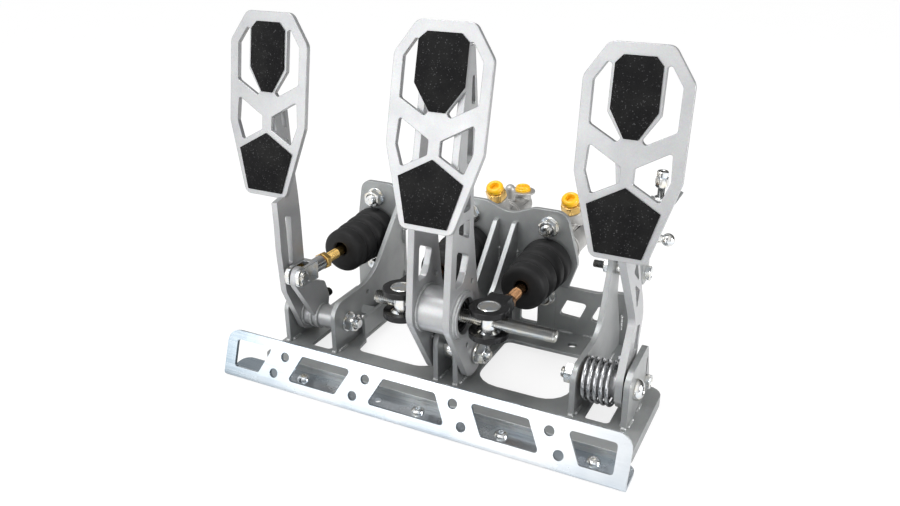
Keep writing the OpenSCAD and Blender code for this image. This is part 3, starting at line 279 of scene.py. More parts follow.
class Shader(Graph):
    """A material's tree, measured in millimetres on the object's own coordinates."""

    def __init__(self, name: str) -> None:
        """Makes an empty material.

        Args:
            name: Its name.
        """
        self.material = bpy.data.materials.new(name)
        self.material.use_nodes = True
        super().__init__(self.material.node_tree)
        self.tree.nodes.clear()
        place = self.node("ShaderNodeTexCoord", out="Object")
        self.place = self.node("ShaderNodeMapping", {"Vector": place, "Scale": (1000.0, 1000.0, 1000.0)})

    def noise(self, size: float, detail: float = 3.0, rough: float = 0.5, stretch: Point = (1, 1, 1),
              shift: float = 0.0) -> Sock:
        """Cloudy noise.

        Args:
            size: Size of its patches in millimetres.
            detail: How many finer layers it has.
            rough: How strong those layers are.
            stretch: How much longer the patches are along X, Y and Z.
            shift: Moves the pattern, so that two noises differ.

        Returns:
            A number round 0.5.
        """
        place = self.node("ShaderNodeMapping", {"Vector": self.place, "Scale": tuple(1.0 / s for s in stretch),
                                                "Location": (shift, shift * 1.7, shift * 0.6)})
        return self.node("ShaderNodeTexNoise", {"Vector": place, "Scale": 1.0 / size, "Detail": detail,
                                                "Roughness": rough})

    def cells(self, size: float, feature: str = "F1", out: str = "Distance") -> Sock:
        """A pattern of cells of that size in millimetres: one output of one of its features."""
        return self.node("ShaderNodeTexVoronoi", {"Vector": self.place, "Scale": 1.0 / size}, out, feature=feature)

    def mix(self, factor: Value, a: Value, b: Value, blend: str = "MIX") -> Sock:
        """Colour a with a share of colour b."""
        return self.node("ShaderNodeMix", {0: factor, 6: a, 7: b}, 2, data_type="RGBA", blend_type=blend)

    def bump(self, height: Value, depth: float) -> Sock:
        """The normal of a height whose 1 stands for a depth in millimetres."""
        return self.node("ShaderNodeBump", {"Height": height, "Distance": depth * MM, "Strength": 1.0})

    def close(self, values: dict) -> bpy.types.Material:
        """Ends the material with a shader of those values."""
        self.node("ShaderNodeOutputMaterial", {"Surface": self.node("ShaderNodeBsdfPrincipled", values)})
        return self.material


@dataclass(frozen=True)
class Finish:
    """A surface with blotches, a varying gloss and a fine grain."""

    name: str
    slot: str
    colour: Point
    shade: Point
    metallic: float
    gloss: float
    spread: float
    patch: float
    grain: float
    depth: float
    extra: tuple = ()

    def blotched(self, s: Shader, low: float, high: float) -> Sock:
        """The two tones in large blotches, of noise from low to high."""
        return s.mix(s.noise(self.patch, 4.0, 0.6).step(low, high), self.colour, self.shade)

    def tone(self, s: Shader) -> Sock:
        """The colour: blotches between the two tones."""
        blotch = s.noise(self.patch, 4.0, 0.6) * 0.75 + s.noise(self.patch / 6, 3.0, shift=9.0) * 0.25
        return s.mix(blotch.step(0.35, 0.68), self.colour, self.shade)

    def sheen(self, s: Shader) -> Sock:
        """The roughness: the finish's own, with smudges."""
        smudge = s.noise(self.patch * 0.7, 4.0, 0.65, shift=31.0)
        return (smudge - 0.5) * (2.0 * self.spread) + self.gloss

    def relief(self, s: Shader) -> Sock:
        """The bump's height."""
        return s.noise(self.grain, 3.0, 0.6, shift=5.0)

    def material(self) -> bpy.types.Material:
        """Makes the finish once.

        Returns:
            Its material.
        """
        found = bpy.data.materials.get("finish_" + self.name)
        if found:
            return found
        s = Shader("finish_" + self.name)
        return s.close({"Base Color": self.tone(s), "Roughness": self.sheen(s), "Metallic": self.metallic,
                        "Normal": s.bump(self.relief(s), self.depth), **dict(self.extra)})


@dataclass(frozen=True)
class SilverPaint(Finish):
    """Powder coat: fine orange peel, tiny flakes and rub marks."""

    def tone(self, s: Shader) -> Sock:
        """Blotches, flakes and a few pale rubs.

        Args:
            s: The material's tree.

        Returns:
            The colour.
        """
        spark = s.mix(0.1, self.blotched(s, 0.3, 0.72), s.cells(0.35, out="Color"), "OVERLAY")
        rub = s.noise(2.2, 5.0, 0.7, stretch=(1, 1, 9), shift=12.0).step(0.66, 0.78) * 0.35
        return s.mix(rub, spark, tuple(min(1.0, c * 1.25) for c in self.colour))

    def relief(self, s: Shader) -> Sock:
        """Orange peel over a finer grain."""
        return s.noise(1.1, 2.0, 0.5) * 0.7 + s.noise(0.25, 2.0, shift=4.0) * 0.3


@dataclass(frozen=True)
class RolledZinc(Finish):
    """Zinc plated sheet: rolling streaks along X, a bluish painted reflection at one end and handling smudges."""

    # A bluish darkening towards the left end: painted reflection, not a mark of the plating.
    reflection_from: float = -70.0
    reflection_to: float = -165.0
    painted_reflection: Point = (0.2, 0.27, 0.33)
    glare: Point = (0.86, 0.89, 0.92)

    def tone(self, s: Shader) -> Sock:
        """Streaks, a slow drift of colour, and the painted reflection at the left end.

        Args:
            s: The material's tree.

        Returns:
            The colour.
        """
        streak = s.noise(0.8, 4.0, 0.7, stretch=(60, 1, 1))
        drift = s.noise(60.0, 2.0, 0.5, shift=20.0)
        base = s.mix(drift.step(0.38, 0.62), self.colour, self.shade)
        across = s.node("ShaderNodeSeparateXYZ", {"Vector": s.place})
        # Mask of the painted reflection, growing towards the left end.
        marked = (across * -1.0).step(-self.reflection_from, -self.reflection_to) * (drift * 0.5 + 0.55)
        return s.mix((streak - 0.5) * 0.6 + 0.12, s.mix(marked, base, self.painted_reflection), self.glare)

    def sheen(self, s: Shader) -> Sock:
        """Streaks and smudges.

        Args:
            s: The material's tree.

        Returns:
            The roughness.
        """
        streak = s.noise(0.5, 3.0, 0.7, stretch=(80, 1, 1), shift=3.0)
        smudge = s.noise(22.0, 5.0, 0.65, shift=31.0).step(0.45, 0.7)
        return (streak - 0.5) * self.spread + smudge * self.spread + self.gloss

    def relief(self, s: Shader) -> Sock:
        """Fine streaks."""
        return s.noise(0.4, 3.0, 0.6, stretch=(50, 1, 1), shift=5.0)


@dataclass(frozen=True)
class PlatedSteel(Finish):
    """Bright plated fasteners, with a faint drift between blue and yellow."""

    def tone(self, s: Shader) -> Sock:
        """Blue and yellow tints over the metal, and painted shade darkening the thread valleys.

        Args:
            s: The material's tree.

        Returns:
            The colour.
        """
        tint = s.node("ShaderNodeValToRGB", {"Fac": s.noise(4.5, 3.0, 0.55)},
                      stops=((0.3, (0.74, 0.8, 0.86)), (0.5, (0.84, 0.84, 0.83)), (0.72, (0.87, 0.82, 0.7))))
        grime = s.noise(3.0, 4.0, 0.7, shift=17.0).step(0.6, 0.8) * 0.5
        # Mask of the thread valleys, which darkens the colour there as painted shade.
        valley = s.node("ShaderNodeAttribute", out="Fac", attribute_name="valley").step(0.3, 0.95)
        clean = s.mix(grime, s.mix(0.5, tint, self.colour, "MULTIPLY"), self.shade)
        return s.mix(valley * 0.85, clean, tuple(c * 0.16 for c in self.shade))


@dataclass(frozen=True)
class CastMetal(Finish):
    """Sand cast metal: a pebbled skin and darker pores."""

    def tone(self, s: Shader) -> Sock:
        """Skin with pores."""
        pore = 1 - s.cells(1.3).step(0.1, 0.32)
        return s.mix(pore * 0.35, self.blotched(s, 0.35, 0.7), tuple(c * 0.5 for c in self.shade))

    def relief(self, s: Shader) -> Sock:
        """Pebbles."""
        return s.noise(0.7, 4.0, 0.6) * 0.6 + s.cells(1.1, "SMOOTH_F1") * 0.4


@dataclass(frozen=True)
class MattRubber(Finish):
    """Moulded rubber with dust on it."""

    def tone(self, s: Shader) -> Sock:
        """Black with dusty patches."""
        dust = s.noise(9.0, 5.0, 0.7).step(0.5, 0.8) * 0.5 + s.noise(0.6, 3.0, shift=8.0).step(0.62, 0.8) * 0.3
        return s.mix(dust.clamped(), self.colour, self.shade)


@dataclass(frozen=True)
class GritPad(Finish):
    """Adhesive grip sheet: black mineral grains, a few lightened as painted glints."""

    painted_glint: Point = (0.14, 0.14, 0.145)

    def tone(self, s: Shader) -> Sock:
        """Black blotches, with a few lighter grains as painted glints.

        Args:
            s: The material's tree.

        Returns:
            The colour.
        """
        grey = s.node("ShaderNodeSeparateColor", {"Color": s.cells(0.55, out="Color")})
        base = s.mix(s.noise(14.0, 3.0).step(0.35, 0.7), self.colour, self.shade)
        # A few cells are lightened in colour: painted glints.
        return s.mix(grey.step(0.94, 0.995) * 0.35, base, self.painted_glint)

    def relief(self, s: Shader) -> Sock:
        """Sharp grains."""
        return 1 - s.cells(0.6)


@dataclass(frozen=True)
class MouldedPlastic(Finish):
    """Moulded plastic with faint flow marks."""

    def tone(self, s: Shader) -> Sock:
        """Slow swirls of two tones."""
        return s.mix(s.noise(5.0, 3.0, 0.5, stretch=(1, 1, 3)).step(0.3, 0.7), self.colour, self.shade)


# Name, slot, colour, shade, metallic, gloss, spread, patch, grain, depth.
PAINT = SilverPaint("silver_paint", "frame_paint", (0.36, 0.37, 0.37), (0.30, 0.31, 0.315), 0.5, 0.36, 0.07,
                    26.0, 0.5, 0.018)
PEDAL_PAINT = SilverPaint("pedal_paint", "pedal_paint", (0.43, 0.435, 0.44), (0.37, 0.375, 0.385), 0.5, 0.33, 0.06,
                          30.0, 0.5, 0.015)
# Lighter paint on rounded edges: part rub-through wear, part painted highlight where edges catch the light.
EDGE_WEAR_AND_HIGHLIGHT_PAINT = SilverPaint("paint_edge_wear_and_highlight", "frame_paint", (0.55, 0.56, 0.56), (0.42, 0.43, 0.43), 0.6, 0.3, 0.1,
                         9.0, 0.4, 0.02)
WELD = CastMetal("weld_paint", "frame_paint", (0.44, 0.45, 0.45), (0.33, 0.34, 0.34), 0.55, 0.32, 0.08, 5.0, 0.7, 0.03)
HEEL_ZINC = RolledZinc("heel_zinc", "heel_zinc", (0.46, 0.52, 0.58), (0.64, 0.67, 0.7), 0.95, 0.22, 0.1,
                       30.0, 0.5, 0.006)
ZINC = PlatedSteel("zinc", "zinc", (0.84, 0.85, 0.86), (0.34, 0.34, 0.34), 1.0, 0.16, 0.09, 6.0, 0.4, 0.01)
STUD = PlatedSteel("stud_steel", "zinc", (0.68, 0.68, 0.66), (0.34, 0.34, 0.33), 1.0, 0.24, 0.1, 3.0, 0.4, 0.01)
SATIN = PlatedSteel("satin_steel", "zinc", (0.72, 0.72, 0.7), (0.5, 0.5, 0.49), 1.0, 0.36, 0.1, 5.0, 0.3, 0.014)
CAST = CastMetal("cast_metal", "cast", (0.5, 0.495, 0.48), (0.4, 0.395, 0.385), 0.75, 0.46, 0.08, 12.0, 0.7, 0.05)
PISTON = Finish("piston_metal", "piston", (0.7, 0.7, 0.71), (0.55, 0.55, 0.56), 1.0, 0.22, 0.06, 8.0, 0.3, 0.006)
RUBBER = MattRubber("boot_rubber", "boot_rubber", (0.007, 0.007, 0.0075), (0.014, 0.014, 0.015), 0.0, 0.6, 0.1,
                    10.0, 0.35, 0.03, (("Specular IOR Level", 0.35),))
GRIP = GritPad("grip", "grip", (0.007, 0.007, 0.0075), (0.012, 0.012, 0.012), 0.0, 0.85, 0.08, 12.0, 0.6, 0.2,
               (("Specular IOR Level", 0.12),))
GRAIN = GritPad("grip_grain", "grip", (0.01, 0.01, 0.0105), (0.018, 0.018, 0.018), 0.0, 0.7, 0.15, 3.0, 0.4, 0.05,
                (("Specular IOR Level", 0.25),))
GOLD = Finish("gold_plate", "gold_plate", (0.83, 0.56, 0.2), (0.66, 0.42, 0.13), 1.0, 0.22, 0.1, 5.0, 0.4, 0.012)
COPPER = Finish("copper_plate", "gold_plate", (0.62, 0.34, 0.17), (0.45, 0.24, 0.12), 1.0, 0.26, 0.1, 4.0, 0.4, 0.012)
BRONZE = Finish("bronze", "bronze", (0.5, 0.33, 0.17), (0.36, 0.22, 0.11), 1.0, 0.34, 0.1, 5.0, 0.3, 0.012)
YELLOW = MouldedPlastic("plug_yellow", "plug_yellow", (0.9, 0.52, 0.01), (0.84, 0.44, 0.008), 0.0, 0.32, 0.06,
                        6.0, 0.5, 0.01, (("Subsurface Weight", 0.12), ("Subsurface Radius", (0.004, 0.002, 0.001))))
ORANGE = MouldedPlastic("plug_orange", "plug_yellow", (0.72, 0.17, 0.006), (0.55, 0.11, 0.005), 0.0, 0.4, 0.06,
                        4.0, 0.5, 0.01)
BLACK = Finish("black_steel", "black_steel", (0.008, 0.008, 0.009), (0.02, 0.02, 0.021), 0.5, 0.24, 0.1,
               7.0, 0.5, 0.012)
SPRING = Finish("spring_steel", "spring_steel", (0.6, 0.61, 0.63), (0.34, 0.34, 0.35), 1.0, 0.16, 0.08, 4.0, 0.3, 0.008)


def to_mesh(bm: BMesh, name: str, smooth: bool = True) -> Mesh:
    """Turns a bmesh into a plain mesh and frees it.

    Args:
        bm: The bmesh.
        name: Name of the mesh.
        smooth: Whether its faces shade smoothly.

    Returns:
        The mesh.
    """
    mesh = bpy.data.meshes.new(name)
    for face in bm.faces:
        face.smooth = smooth
    bm.to_mesh(mesh)
    bm.free()
    if "custom_normal" in mesh.attributes:
        mesh.attributes.remove(mesh.attributes["custom_normal"])
    return mesh


def evaluated(mesh: Mesh, modify: Callable[[Thing], None]) -> Mesh:
    """Applies modifiers to a mesh.

    Args:
        mesh: The mesh.
        modify: Adds the modifiers to an object.

    Returns:
        The resulting plain mesh.
    """
    holder = linked("holder", mesh)
    modify(holder)
    graph = bpy.context.evaluated_depsgraph_get()
    result = bpy.data.meshes.new_from_object(holder.evaluated_get(graph), depsgraph=graph)
    bpy.data.objects.remove(holder)
    return result


def rounded_edges(mesh: Mesh, edge: float, clamp: bool = False, edge_wear_and_highlight: bool = False) -> Mesh:
    """Rounds a mesh's sharp edges and keeps its flats flat.

    Args:
        mesh: The mesh.
        edge: Width of the rounding in millimetres.
        clamp: Whether the rounding is held back where faces are small.
        edge_wear_and_highlight: Whether the rounded faces get the second material, a lighter paint that is part wear
            and part painted highlight.

    Returns:
        The rounded mesh.
    """

    def modify(holder: Thing) -> None:
        """Adds the two modifiers."""
        # Bevel faces may take the lighter edge paint: part wear, part painted highlight.
        set_all(holder.modifiers.new("edge", "BEVEL"), width=edge * MM, segments=2, limit_method="ANGLE",
                angle_limit=SHARP_ANGLE, use_clamp_overlap=clamp, miter_outer="MITER_ARC",
                material=1 if edge_wear_and_highlight else -1)
        set_all(holder.modifiers.new("flats", "WEIGHTED_NORMAL"), keep_sharp=True, weight=80)

    return evaluated(mesh, modify)


def skin(bm: BMesh, rings: list[list[bmesh.types.BMVert]]) -> None:
    """Lays faces between each ring of points and the next.

    Args:
        bm: What the points are in, and the faces go to.
        rings: The rings.
    """
    for low, high in zip(rings, rings[1:]):
        for i in range(len(low)):
            j = (i + 1) % len(low)
            corners = list(dict.fromkeys((low[i], low[j], high[j], high[i])))
            if len(corners) > 2:
                bm.faces.new(corners)


def turned(rows: Rows, sides: int = 40, closed: bool = False, flats: float = 0.0) -> Mesh:
    """Turns a profile about the Z axis, and may cut it to a hexagon.

    Args:
        rows: Radius and height of each point, in millimetres.
        sides: Steps round the axis.
        closed: Whether the last point joins the first, as where there is a bore.
        flats: Width across the hexagon's flats, or 0 for none.

    Returns:
        The turned shape, in metres.
    """
    bm = bmesh.new()
    rings = []
    sixth = math.pi / 6
    for radius, height in rows:
        if radius < 1e-6:
            rings.append([bm.verts.new((0.0, 0.0, height * MM))] * sides)
            continue
        ring = []
        for i in range(sides):
            a = TURN * i / sides
            reach = min(radius, flats / 2 / math.cos((a + sixth) % (math.pi / 3) - sixth)) if flats else radius
            ring.append(bm.verts.new((reach * MM * math.cos(a), reach * MM * math.sin(a), height * MM)))
        rings.append(ring)
    skin(bm, rings + rings[:1] if closed else rings)
    bmesh.ops.remove_doubles(bm, verts=bm.verts, dist=1e-7)
    bmesh.ops.recalc_face_normals(bm, faces=bm.faces)
    return to_mesh(bm, "turned")


def cylinder(radius: float, height: float, sides: int) -> Mesh:
    """A plain cylinder on its end."""
    return turned(((0, 0), (radius, 0), (radius, height), (0, height)), sides)


def swept(path: Sequence[Vector], radius: float, sides: int) -> Mesh:
    """A closed tube along a path.

    Args:
        path: Points of its middle line, in millimetres.
        radius: Its radius in millimetres.
        sides: Steps round it.

    Returns:
        The tube, in metres.
    """
    bm = bmesh.new()
    rings = []
    normal = Vector(RIGHT)
    for i, point in enumerate(path):
        ahead = path[min(i + 1, len(path) - 1)] - path[max(i - 1, 0)]
        ahead.normalize()
        normal = (normal - ahead * normal.dot(ahead)).normalized()
        side = ahead.cross(normal)
        rings.append([bm.verts.new((point + (normal * math.cos(a) + side * math.sin(a)) * radius) * MM)
                      for a in (TURN * k / sides for k in range(sides))])
    skin(bm, rings)
    bm.faces.new(list(reversed(rings[0])))
    bm.faces.new(rings[-1])
    bmesh.ops.recalc_face_normals(bm, faces=bm.faces)
    return to_mesh(bm, "swept")


def stand(origin: Point, axis: Point) -> Matrix:
    """The move that stands a turned shape on a point in millimetres, its height along an axis."""
    return Matrix.Translation(Vector(origin) * MM) @ Vector(axis).to_track_quat("Z", "Y").to_matrix().to_4x4()


def aimed(start: Point, goal: Point) -> Matrix:
    """The move of a rod's own frame, whose Y axis runs from its pivot, the start, to its ball, the goal."""
    angle = math.atan2(goal[2] - start[2], goal[1] - start[1])
    return Matrix.Translation(Vector(start) * MM) @ Matrix.Rotation(angle, 4, "X")


def fillet(rows: Path, steps: int = 6) -> list[tuple[float, float]]:
    """Rounds the corners of an outline.

    Args:
        rows: Place and radius of each corner.
        steps: Steps round a corner.

    Returns:
        The outline's points.
    """
    points: list[tuple[float, float]] = []
    for i, (x, y, radius) in enumerate(rows):
        here = Vector((x, y))
        back, on = Vector(rows[i - 1][:2]) - here, Vector(rows[(i + 1) % len(rows)][:2]) - here
        half = back.angle(on) / 2
        if radius <= 0 or half > NEARLY_STRAIGHT:
            points.append((x, y))
            continue
        reach = min(radius / math.tan(half), SIDE_SHARE * back.length, SIDE_SHARE * on.length)
        true = reach * math.tan(half)
        middle = here + (back.normalized() + on.normalized()).normalized() * true / math.sin(half)
        first, last = here + back.normalized() * reach - middle, here + on.normalized() * reach - middle
        a = math.atan2(first.y, first.x)
        sweep = (math.atan2(last.y, last.x) - a + 3 * math.pi) % TURN - math.pi
        points += [(middle.x + true * math.cos(a + sweep * k / steps),
                    middle.y + true * math.sin(a + sweep * k / steps)) for k in range(steps + 1)]
    return points


def hexagon_sizes(flats: float) -> tuple[float, float, float, float]:
    """Radius of a hexagon's corners, its chamfer's inner and middle radius, and the chamfer's height."""
    corner, top = flats / math.sqrt(3), flats * 0.475
    return corner, top, (corner + top) / 2, (corner - top) * 0.58


def hex_nut(flats: float, height: float, hole: float) -> Mesh:
    """A hexagon nut with chamfered corners and a countersunk hole of that radius."""
    corner, top, middle, rise = hexagon_sizes(flats)
    return turned(((hole + 0.6, 0), (top, 0), (middle, rise / 2), (corner, rise), (corner, height - rise),
                   (middle, height - rise / 2), (top, height), (hole + 0.8, height), (hole, height - 0.9),
                   (hole, 0.6)), 48, True, flats)


def hex_head(flats: float, height: float) -> Mesh:
    """A hexagon bolt head with chamfered corners and a shallow dish."""
    corner, top, middle, rise = hexagon_sizes(flats)
    return turned(((0, 0), (top, 0), (corner, 0.1), (corner, height - rise), (middle, height - rise / 2),
                   (top, height), (top * 0.72, height), (top * 0.66, height - 0.25), (0, height - 0.3)),
                  48, False, flats)


def button_head(radius: float, height: float, key: float) -> Mesh:
    """A domed head with a round-cornered socket of radius key."""
    return turned(((0, 0), (radius - 0.1, 0), (radius, 0.35), (radius * 0.96, height * 0.45),
                   (radius * 0.82, height * 0.8), (radius * 0.6, height), (key + 0.25, height),
                   (key, height - 0.25), (key * 0.96, height * 0.42), (0, height * 0.36)), 36)


def washer(radius: float, height: float, hole: float) -> Mesh:
    """A washer with stamped edges and a hole of that radius."""
    return turned(((hole, 0), (radius - 0.2, 0), (radius, 0.25), (radius, height - 0.35), (radius - 0.35, height),
                   (hole + 0.2, height), (hole, height - 0.2)), 48, True)


class Recipes:
    """The trees that make threads, rows of one part, weld beads and grit."""

    thread_sides = 29
    rows_per_turn = 6

    def __init__(self) -> None:
        """Builds them once."""
        self.blank = bpy.data.meshes.new("blank")
        self.thread, self.row, self.bead, self.grit = self._thread(), self._row(), self._bead(), self._grit()

    @staticmethod
    def _thread() -> Recipe:
        """A threaded bar along Z with chamfered ends and a dimple in each.

        Returns:
            The recipe.
        """
        number = Kind.NUMBER
        r = Recipe("thread", Radius=number, Pitch=number, Depth=number, Length=number, Chamfer=number,
                   Dimple=number, Sides=Kind.COUNT, Rows=Kind.COUNT)
        radius, pitch, depth, length, chamfer, dimple, sides, rows = r.given(
            "Radius", "Pitch", "Depth", "Length", "Chamfer", "Dimple", "Sides", "Rows")
        grid = r.node("GeometryNodeMeshGrid", {"Size X": 1.0, "Size Y": 1.0, "Vertices X": sides, "Vertices Y": rows})
        across = r.node("ShaderNodeSeparateXYZ", {"Vector": r.node("GeometryNodeInputPosition")})
        turn, way = across + 0.5, across.other("Y") + 0.5
        last = rows - 1.0
        row = way * last
        from_end = row.least(last - row)
        height = ((row - 2.0) / (last - 4.0)).clamped() * length
        ridge = ((height / pitch - turn).apply("FRACT") - 0.5).apply("ABSOLUTE") * 2.6 - 0.3
        valley = (1 - ridge.clamped()) * from_end.above(2.5)
        slope = radius - chamfer + height.least(length - height)
        body = (radius - depth * valley).least(slope) * from_end.above(1.5)
        rim = (radius * 0.3) * (from_end.above(0.5) - from_end.above(1.5))
        dent = (1 - from_end.above(0.5)) * dimple * (1 - 2 * way.above(0.5))
        angle = turn * TURN
        place = r.node("ShaderNodeCombineXYZ", {
            "X": (body + rim) * angle.apply("COSINE"), "Y": (body + rim) * angle.apply("SINE"), "Z": height + dent})
        moved = r.node("GeometryNodeSetPosition", {"Geometry": grid, "Position": place})
        # The valleys are also stored as the mask of the finish's painted shade.
        marked = r.node("GeometryNodeStoreNamedAttribute", {"Geometry": moved, "Name": "valley", "Value": valley},
                        data_type="FLOAT", domain="POINT")
        return r.end("GeometryNodeMergeByDistance", {"Geometry": marked, "Distance": 1e-6})

    @staticmethod
    def _row() -> Recipe:
        """Copies of one part, each standing on a point along the point's axis, with a turn of its own.

        Returns:
            The recipe.
        """
        r = Recipe("row_of_parts", Part=Kind.OBJECT, Seed=Kind.COUNT)
        points, whole, seed = r.given("Geometry", "Part", "Seed")
        axis = r.node("GeometryNodeInputNamedAttribute", {"Name": "axis"}, data_type="FLOAT_VECTOR")
        lean = r.node("FunctionNodeAlignRotationToVector", {"Vector": axis}, axis="Z")
        roll = r.node("FunctionNodeRandomValue", {2: 0.0, 3: TURN, "Seed": seed}, 1, data_type="FLOAT")
        spin = r.node("FunctionNodeAxisAngleToRotation", {"Axis": (0.0, 0.0, 1.0), "Angle": roll})
        both = r.node("FunctionNodeRotateRotation", {"Rotation": lean, "Rotate By": spin}, rotation_space="LOCAL")
        part = r.node("GeometryNodeObjectInfo", {"Object": whole}, "Geometry")
        return r.end("GeometryNodeInstanceOnPoints", {"Points": points, "Instance": part, "Rotation": both})

    @staticmethod
    def _bead() -> Recipe:
        """A rippled weld bead along edges.

        Returns:
            The recipe.
        """
        r = Recipe("weld_bead", Radius=Kind.NUMBER, Ripple=Kind.NUMBER, Taper=Kind.NUMBER)
        lines, radius, ripple, taper = r.given("Geometry", "Radius", "Ripple", "Taper")
        line = r.node("GeometryNodeMeshToCurve", {"Mesh": lines})
        fine = r.node("GeometryNodeResampleCurve", {"Curve": line, "Length": 0.00035}, mode="LENGTH")
        along = r.node("GeometryNodeSplineParameter")
        wave = (along.other("Length") / ripple).apply("FRACT")
        ends = (along.least(1 - along) * 9.0).clamped()
        swell = (0.84 + 0.26 * wave) * (1 - taper * (1 - ends))
        ring = r.node("GeometryNodeCurvePrimitiveCircle", {"Resolution": 10, "Radius": radius})
        tube = r.node("GeometryNodeCurveToMesh", {"Curve": fine, "Profile Curve": ring, "Scale": swell,
                                                  "Fill Caps": True})
        noise = r.node("ShaderNodeTexNoise", {"Scale": 700.0, "Detail": 2.0}, "Color")
        shift = r.node("ShaderNodeVectorMath", {0: noise, 1: (0.5, 0.5, 0.5)}, operation="SUBTRACT")
        small = r.node("ShaderNodeVectorMath", {0: shift, "Scale": 0.0007}, operation="SCALE")
        return r.end("GeometryNodeSetPosition", {"Geometry": tube, "Offset": small})

    @staticmethod
    def _grit() -> Recipe:
        """Grains scattered over a sheet.

        Returns:
            The recipe.
        """
        r = Recipe("grit", Amount=Kind.NUMBER, Size=Kind.NUMBER, Seed=Kind.COUNT)
        sheet, amount, size, seed = r.given("Geometry", "Amount", "Size", "Seed")
        points = r.node("GeometryNodeDistributePointsOnFaces", {"Mesh": sheet, "Density": amount, "Seed": seed},
                        distribute_method="RANDOM")
        grain = r.node("GeometryNodeMeshIcoSphere", {"Radius": size, "Subdivisions": 1})
        scale = r.node("FunctionNodeRandomValue", {2: 0.5, 3: 1.3, "Seed": 7}, 1, data_type="FLOAT")
        spin = r.node("FunctionNodeRandomValue", {0: (0.0, 0.0, 0.0), 1: (6.28, 6.28, 6.28), "Seed": 11},
                      data_type="FLOAT_VECTOR")
        turn = r.node("FunctionNodeEulerToRotation", {"Euler": spin})
        return r.end("GeometryNodeInstanceOnPoints", {"Points": points, "Instance": grain, "Rotation": turn,
                                                      "Scale": scale})

    def threaded(self, radius: float, length: float, pitch: float, finish: Finish, chamfer: float = 0.6,
                 dimple: float = 0.0, depth: float = 0.5) -> Mesh:
        """Makes a threaded bar along Z from 0.

        Args:
            radius: Its radius, in millimetres as the rest.
            length: Its length.
            pitch: Height of a turn.
            finish: Its finish.
            chamfer: Size of the chamfer at its ends.
            dimple: Depth of the dimple at its ends.
            depth: Depth of the thread, as a share of the pitch.

        Returns:
            The bar.
        """
        return self.thread.run(self.blank.copy(), finish, Radius=radius * MM, Length=length * MM, Pitch=pitch * MM,
                               Chamfer=chamfer * MM, Dimple=dimple * MM, Depth=depth * pitch * MM,
                               Sides=self.thread_sides, Rows=int(length / pitch * self.rows_per_turn) + 5)

    def repeated(self, part: Mesh, places: Sequence[tuple[Point, Point]], finish: Finish, seed: int) -> Mesh:
        """Stands copies of a part on points.

        Args:
            part: The part, its height along Z.
            places: Place in millimetres and axis of each.
            finish: Their finish.
            seed: Seed of their turns.

        Returns:
            All of them in one mesh.
        """
        points = bpy.data.meshes.new("points")
        points.from_pydata([Vector(place) * MM for place, _ in places], [], [])
        axes = points.attributes.new("axis", "FLOAT_VECTOR", "POINT")
        for i, (_, axis) in enumerate(places):
            axes.data[i].vector = axis
        holder = linked("part", part)
        made = self.row.run(points, finish, Part=holder, Seed=seed)
        bpy.data.objects.remove(holder)
        return made

    def welded(self, paths: Sequence[Path], radius: float, closed: bool = False) -> Mesh:
        """Lays weld beads.

        Args:
            paths: Points of each bead's middle line, in millimetres.
            radius: The beads' radius.
            closed: Whether each bead is a ring.

        Returns:
            The beads.
        """
        verts: list[Vector] = []
        edges: list[tuple[int, int]] = []
        for path in paths:
            first = len(verts)
            verts += [Vector(p) * MM for p in path]
            edges += [(first + k, first + k + 1) for k in range(len(path) - 1)]
            if closed:
                edges.append((len(verts) - 1, first))
        lines = bpy.data.meshes.new("lines")
        lines.from_pydata(verts, edges, [])
        return self.bead.run(lines, WELD, Radius=radius * MM, Ripple=1.15 * MM, Taper=0.0 if closed else 0.85)


class Lot:
    """Shapes of one or several finishes, gathered into one mesh."""

    def __init__(self, *rows: tuple) -> None:
        """Starts with some shapes.

        Args:
            *rows: What add takes, for each of them.
        """
        self.bm = bmesh.new()
        self.finishes: list[Finish] = []
        for row in rows:
            self.add(*row)

    def add(self, shape: Mesh, finish: Finish, spot: Point = (0, 0, 0), way: Point | None = None,
            within: Matrix | None = None) -> None:
        """Adds one shape.

        Args:
            shape: Its mesh, which is used up.
            finish: Its finish.
            spot: Where it goes, in millimetres.
            way: Where its height points, if it is to be turned.
            within: The move of the frame that both are given in, if it isn't the part's own.
        """
        shape.transform((within or Matrix()) @ (stand(spot, way) if way else Matrix.Translation(Vector(spot) * MM)))
        if finish not in self.finishes:
            self.finishes.append(finish)
        first = len(self.bm.faces)
        self.bm.from_mesh(shape)
        self.bm.faces.ensure_lookup_table()
        for face in self.bm.faces[first:]:
            face.material_index = self.finishes.index(finish)
        bpy.data.meshes.remove(shape)

    def close(self, angle: float = 32.0) -> Mesh:
        """Ends the lot.

        Args:
            angle: Edges sharper than this, in degrees, shade sharp.

        Returns:
            Its mesh.
        """
        mesh = to_mesh(self.bm, "lot")
        mesh.set_sharp_from_angle(angle=math.radians(angle))
        return mesh


